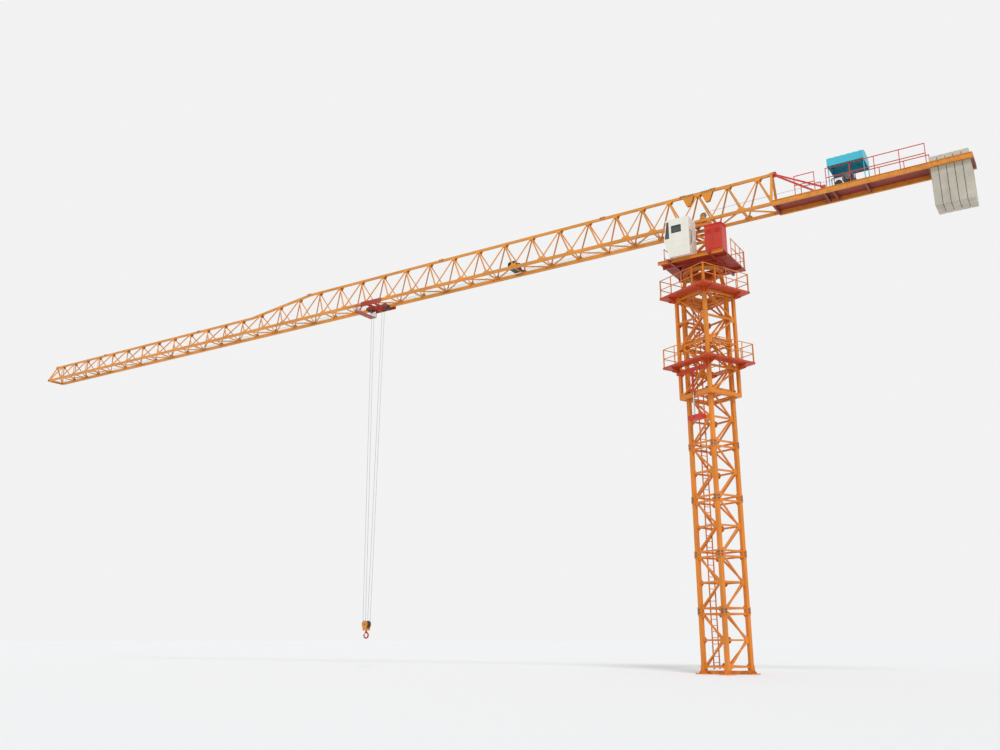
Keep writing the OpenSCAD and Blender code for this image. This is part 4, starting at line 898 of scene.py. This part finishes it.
# Hoist winch: a rope drum between two bearings on a black bed, with a gearbox and a finned
# motor beside it. Two layers of rope fill the drum between its flanges.
wear(black, "hoist_winch")
wear(steel, "hoist_drum")
drum = np.array([4.100, 0.0, 12.290])
piece("hoist_windings", "upper", "bare_steel", rope, turned(windings(0.1152, 0.009, 0.290, 32), drum, Y, 48),
      turned(windings(0.1232, 0.009, 0.180, 20), drum - Y * 0.054, Y, 48), smooth=40)
off_drum, over_points = drum + [0, 0.030, 0.1362], quarter(over, WHEEL_R + ROPE_R, 180)[::-1]
lead = [*np.linspace(off_drum, over_points[0], 5)[:-1], *over_points, *quarter(under, WHEEL_R + ROPE_R, 0),
        [-0.30, LEAD_Y, ROPE_Z], [ROPE_END, LEAD_Y, ROPE_Z]]
piece("hoist_lead_rope", "upper", "bare_steel", rope, tube(lead, ROPE_R), smooth=60)
motor = np.array([drum[0] - 0.240, 0.0, DECK_TOP + 0.1103])
motor_fin = [(0.077, -0.150), (0.092, -0.150), (0.092, 0.150), (0.077, 0.150)]
spokes = around(26, X, Z)
piece("hoist_motor_fins", "upper", "black_paint", black,
      fins_round(motor_fin, motor, spokes[spokes[:, 2] > -0.8], Y, 0.005),
      turned([(0.095, -0.212), (0.095, -0.175), (0.090, -0.165)], motor, Y, 32),
      turned([(0.086, 0.165), (0.095, 0.175), (0.095, 0.212)], motor, Y, 32),
      box(motor + [-0.045, -0.06, 0.085], motor + [0.045, 0.06, 0.135]), bevel=0.003)
bearing_cap = [(0.070, 0.0), (0.070, 0.010), (0.062, 0.014)]
cap_bolts = drum + around(6, X, Z, first=0) * 0.052
piece("hoist_bearing_caps", "upper", "bare_steel", steel,
      *[turned(bearing_cap, drum + Y * side * 0.2115, Y * side, 32) for side in (-1, 1)],
      *[turned(small_head, cap_bolts + Y * side * 0.2250, Y * side, 6) for side in (-1, 1)], smooth=40)


# Winch cover: an arched hood of thin turquoise sheet on four legs, with pressed ribs across its
# roof, a folded drip edge and rows of small rivets.
HOOD_X0, HOOD_X1, HOOD_HALF, HOOD_EDGE, HOOD_RISE = 3.650, 4.550, 0.380, 12.842, 0.120
turquoise = paint("turquoise_sheet", linear(64, 186, 206), grime=0.25, chips=0.12, rough=0.36, fade=0.1)
wear(turquoise, "winch_cover")


def arch(x, width, lift):
    """A band over the hood: a circle through its edges and crown, and the same lifted, joined at the ends."""
    r = (HOOD_HALF ** 2 + HOOD_RISE ** 2) / (2 * HOOD_RISE)
    y = np.linspace(-HOOD_HALF + 0.004, HOOD_HALF - 0.004, 25)
    z = HOOD_EDGE + HOOD_RISE - r + np.sqrt(r ** 2 - y ** 2)
    raised = lift * np.clip((0.372 - np.abs(y)) * 90, 0.1, 1.0)
    return extruded(np.r_[np.c_[y, z - 0.001], np.c_[y, z + raised][::-1]],
                    [x - width / 2, 0, 0], Y, Z, X * width)


piece("hood_ribs", "upper", "turquoise_sheet", turquoise,
      *[arch(x, 0.030, 0.009) for x in np.linspace(3.72, 4.48, 6)],
      *[box((HOOD_X0 - 0.004, side * 0.379, 12.630), (HOOD_X1 + 0.004, side * 0.388, 12.648))
        for side in (-1, 1)])
rivet_x, rivet_z = every(np.linspace(HOOD_X0 + 0.03, HOOD_X1 - 0.03, 19), [12.665, 12.825]).T
rivet = [(0.005, 0.0), (0.004, 0.0025), (0.0015, 0.0035)]
piece("hood_rivets", "upper", "turquoise_sheet", turquoise,
      *[turned(rivet, points_at(rivet_x, side * 0.3795, rivet_z), Y * side, 8) for side in (-1, 1)])


# Counterweights: five cast concrete slabs hung between the deck's beams on their shoulders.
# The moulds leave chamfered edges and small voids, painted darker as painted shade in the pits, and steel
# loops stand out of the tops.
SLAB_T, SLAB_DROP, SLAB_TOP, SLAB_HALF, SHOULDER = 0.170, 1.150, 12.200, 0.307, 0.365
f = Finish("cast_concrete", Specular_IOR_Level=0.25)
stain = f.noise(1.0, 5.0, 0.7, stretch=(5.0, 5.0, 0.6)).above(0.5, 3.0)
void = f.noise(60.0, 2.0).above(0.70, 14.0)
base = f.mix(f.noise(1.6, 5.0, 0.6).above(0.3, 2.4), linear(176, 170, 156), linear(206, 200, 186))
base = f.mix(stain * 0.5, base, linear(136, 128, 112))
# Painted shade: the voids, sunk by the bump, are also painted dark.
f.look(Base_Color=f.mix(void * 0.6, base, linear(104, 98, 88)), Roughness=0.82 + void * 0.1)
f.bump(f.noise(26.0, 5.0) * 0.5 - void * 0.8, 0.003)
slab_x, seat_z = 6.940 - (np.arange(5) + 1) * 0.180, DECK_TOP + 0.0003
half_tee = np.array([(SLAB_HALF, DECK_TOP - SLAB_DROP), (SLAB_HALF, seat_z),
                     (SHOULDER, seat_z), (SHOULDER, SLAB_TOP)])
slabs = piece("concrete_slabs", "upper", "concrete", f.material,
              extruded(np.r_[half_tee, half_tee[::-1] * [-1, 1]], points_at(slab_x, 0, 0), Y, Z, X * SLAB_T),
              bevel=0.012)
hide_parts("counterweights")
a = np.linspace(0, np.pi, 9)
loop = points_at(0, 0.045 * np.cos(a), 0.055 * np.sin(a))
loop = np.r_[loop[:1] - Z * 0.02, loop, loop[-1:] - Z * 0.02]
piece("slab_loops", "upper", "bare_steel", steel,
      *[tube(loop + [x + SLAB_T / 2, y, SLAB_TOP], 0.007) for x in slab_x for y in (-0.2, 0.2)], smooth=60)


# Trolley: a dark red frame that hangs under the jib on eight wheels, with a service basket. Its
# basket is closed with mesh bars, and steel caps cover the wheels' and the sheaves' hubs.
TROLLEY_X, SHEAVE_X, SHEAVE_Z, BASKET_Y, LOW, MESH_R = -11.7, 0.330, 11.8585, 0.405, 11.862, 0.004
wear(deck_red, "trolley_frame")
wear(steel, "trolley_wheels", "trolley_sheaves", "hook_sheaves")
bars = []
for y in (-BASKET_Y, BASKET_Y):
    for x in TROLLEY_X + np.linspace(-0.68, -0.45, 6)[1:]:
        bars.append(tube([[x, y, LOW - 0.152], [x, y, LOW + 0.08]], MESH_R, 6))
    for z in (LOW - 0.10, LOW - 0.04, LOW + 0.02):
        bars.append(tube([[TROLLEY_X - 0.685, y, z], [TROLLEY_X - 0.43, y, z]], MESH_R, 6))
piece("basket_mesh", "trolley", "dark_red_paint", deck_red, *bars)
hub, hanger = [(0.016, 0.0), (0.016, 0.006), (0.012, 0.010)], [(0.024, 0.0), (0.024, 0.006), (0.018, 0.009)]
axle_x = TROLLEY_X + np.array([-0.38, -0.24, 0.24, 0.38])
hanger_x = TROLLEY_X + np.array([-SHEAVE_X, SHEAVE_X])
piece("trolley_hub_caps", "trolley", "bare_steel", steel,
      *[turned(hub, points_at(axle_x, side * 0.411, 11.9943), Y * side, 16) for side in (-1, 1)],
      *[turned(hanger, points_at(hanger_x, side * 0.106, SHEAVE_Z), Y * side, 20)
        for side in (-1, 1)], smooth=40)


# Hoist rope: four falls between the trolley and the hook block. They draw in a little towards
# the block.
BLOCK_Z, FALL_Y, FALL_TOP, FALL_LOW, HOIST_RANGE = 1.295, 0.060, 0.2357, 0.0943, 9.9
falls = [tube(np.linspace([TROLLEY_X + side * FALL_LOW, y, BLOCK_Z],
                          [TROLLEY_X + side * FALL_TOP, y, SHEAVE_Z], 12),
              ROPE_R) for side in (-1, 1) for y in (-FALL_Y, FALL_Y)]
fall_ropes = piece("hoist_rope_falls", "trolley", "bare_steel", rope, *falls, smooth=60)
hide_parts("hoist_falls")
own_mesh(fall_ropes)


# Hook block: two yellow-orange cheeks round a pair of sheaves, with bolts round the edge and a
# crosshead below. The forged red hook turns in the crosshead and has a spring latch.
BOWL_Z, BOWL_R, NOSE_RING, NOSE_AT = 0.961, 0.061, 0.085, math.radians(175.0)
wear(yellow, "hook_block")
f = Finish("hook_paint", Coat_Weight=0.15, Specular_IOR_Level=0.45)
x, y, z = f.parts(f.place())
across, height = x - TROLLEY_X, z - BOWL_Z
scuffs = f.noise(34.0, 6.0, 0.62)
near = (BOWL_R * 1.20) ** 2 - (across * across + height * height) + (scuffs - 0.5) * 0.0032
rubbed = near.above(0.0, 1400.0) * (height * -60.0).above(-0.9, 1.0)
bare = rubbed + f.noise(90.0, 5.0, 0.7).above(0.67, 16.0) * (1.0 - rubbed)
painted = f.mix(f.noise(9.0, 4.0).above(0.3, 2.4), linear(176, 38, 24), linear(206, 50, 28))
f.look(Base_Color=f.mix(bare, painted, linear(122, 116, 110)), Metallic=bare * 0.9,
       Roughness=0.46 - rubbed * 0.16 + scuffs * 0.14)
f.bump(scuffs * 0.4 - bare * 0.6, 0.0012)
wear(f.material, "hook")
block, CHEEK_Y = np.array([TROLLEY_X, 0, BLOCK_Z]), 0.095
a = np.radians([20, 65, 115, 160, 215, 325])
cheek_bolts = block + 0.1 * points_at(np.cos(a), 0, np.sin(a))
block_cap = [(0.030, 0.0), (0.030, 0.008), (0.022, 0.012)]
piece("block_bolts", "hook_block", "bare_steel", steel,
      *[turned(small_head, cheek_bolts + Y * side * CHEEK_Y, Y * side, 6) for side in (-1, 1)],
      *[turned(block_cap, block + Y * side * CHEEK_Y, Y * side, 24) for side in (-1, 1)], smooth=30)
leaf = [(-0.031, 1.054), (-0.036, 1.052), (-0.069, 0.992), (-0.066, 0.974), (-0.0615, 0.974), (-0.064, 0.991)]
ear = [(-0.020, 1.038), (-0.020, 1.066), (-0.034, 1.062), (-0.041, 1.054), (-0.041, 1.046), (-0.034, 1.038)]
piece("hook_latch", "hook", "bare_steel", steel, extruded(leaf, [TROLLEY_X, -0.014, 0], X, Z, Y * 0.028),
      extruded(ear, points_at(TROLLEY_X, [-0.019, 0.015], 0), X, Z, Y * 0.004),
      turned([(0.0045, -0.024), (0.0045, 0.024)], [TROLLEY_X - 0.035, 0, 1.051], Y, 12), bevel=0.0006)
nose = [(0.0239, -0.002), (0.0232, 0.006), (0.0200, 0.0125),
        (0.0145, 0.0175), (0.0075, 0.0205), (0.0015, 0.0215)]
outward, ahead = (points_at(math.cos(turn), 0, math.sin(turn)) for turn in (NOSE_AT, NOSE_AT - math.pi / 2))
piece("hook_nose", "hook", "red_paint", f.material,
      turned(nose, [TROLLEY_X, 0, BOWL_Z] + NOSE_RING * outward, ahead, 32), smooth=60)
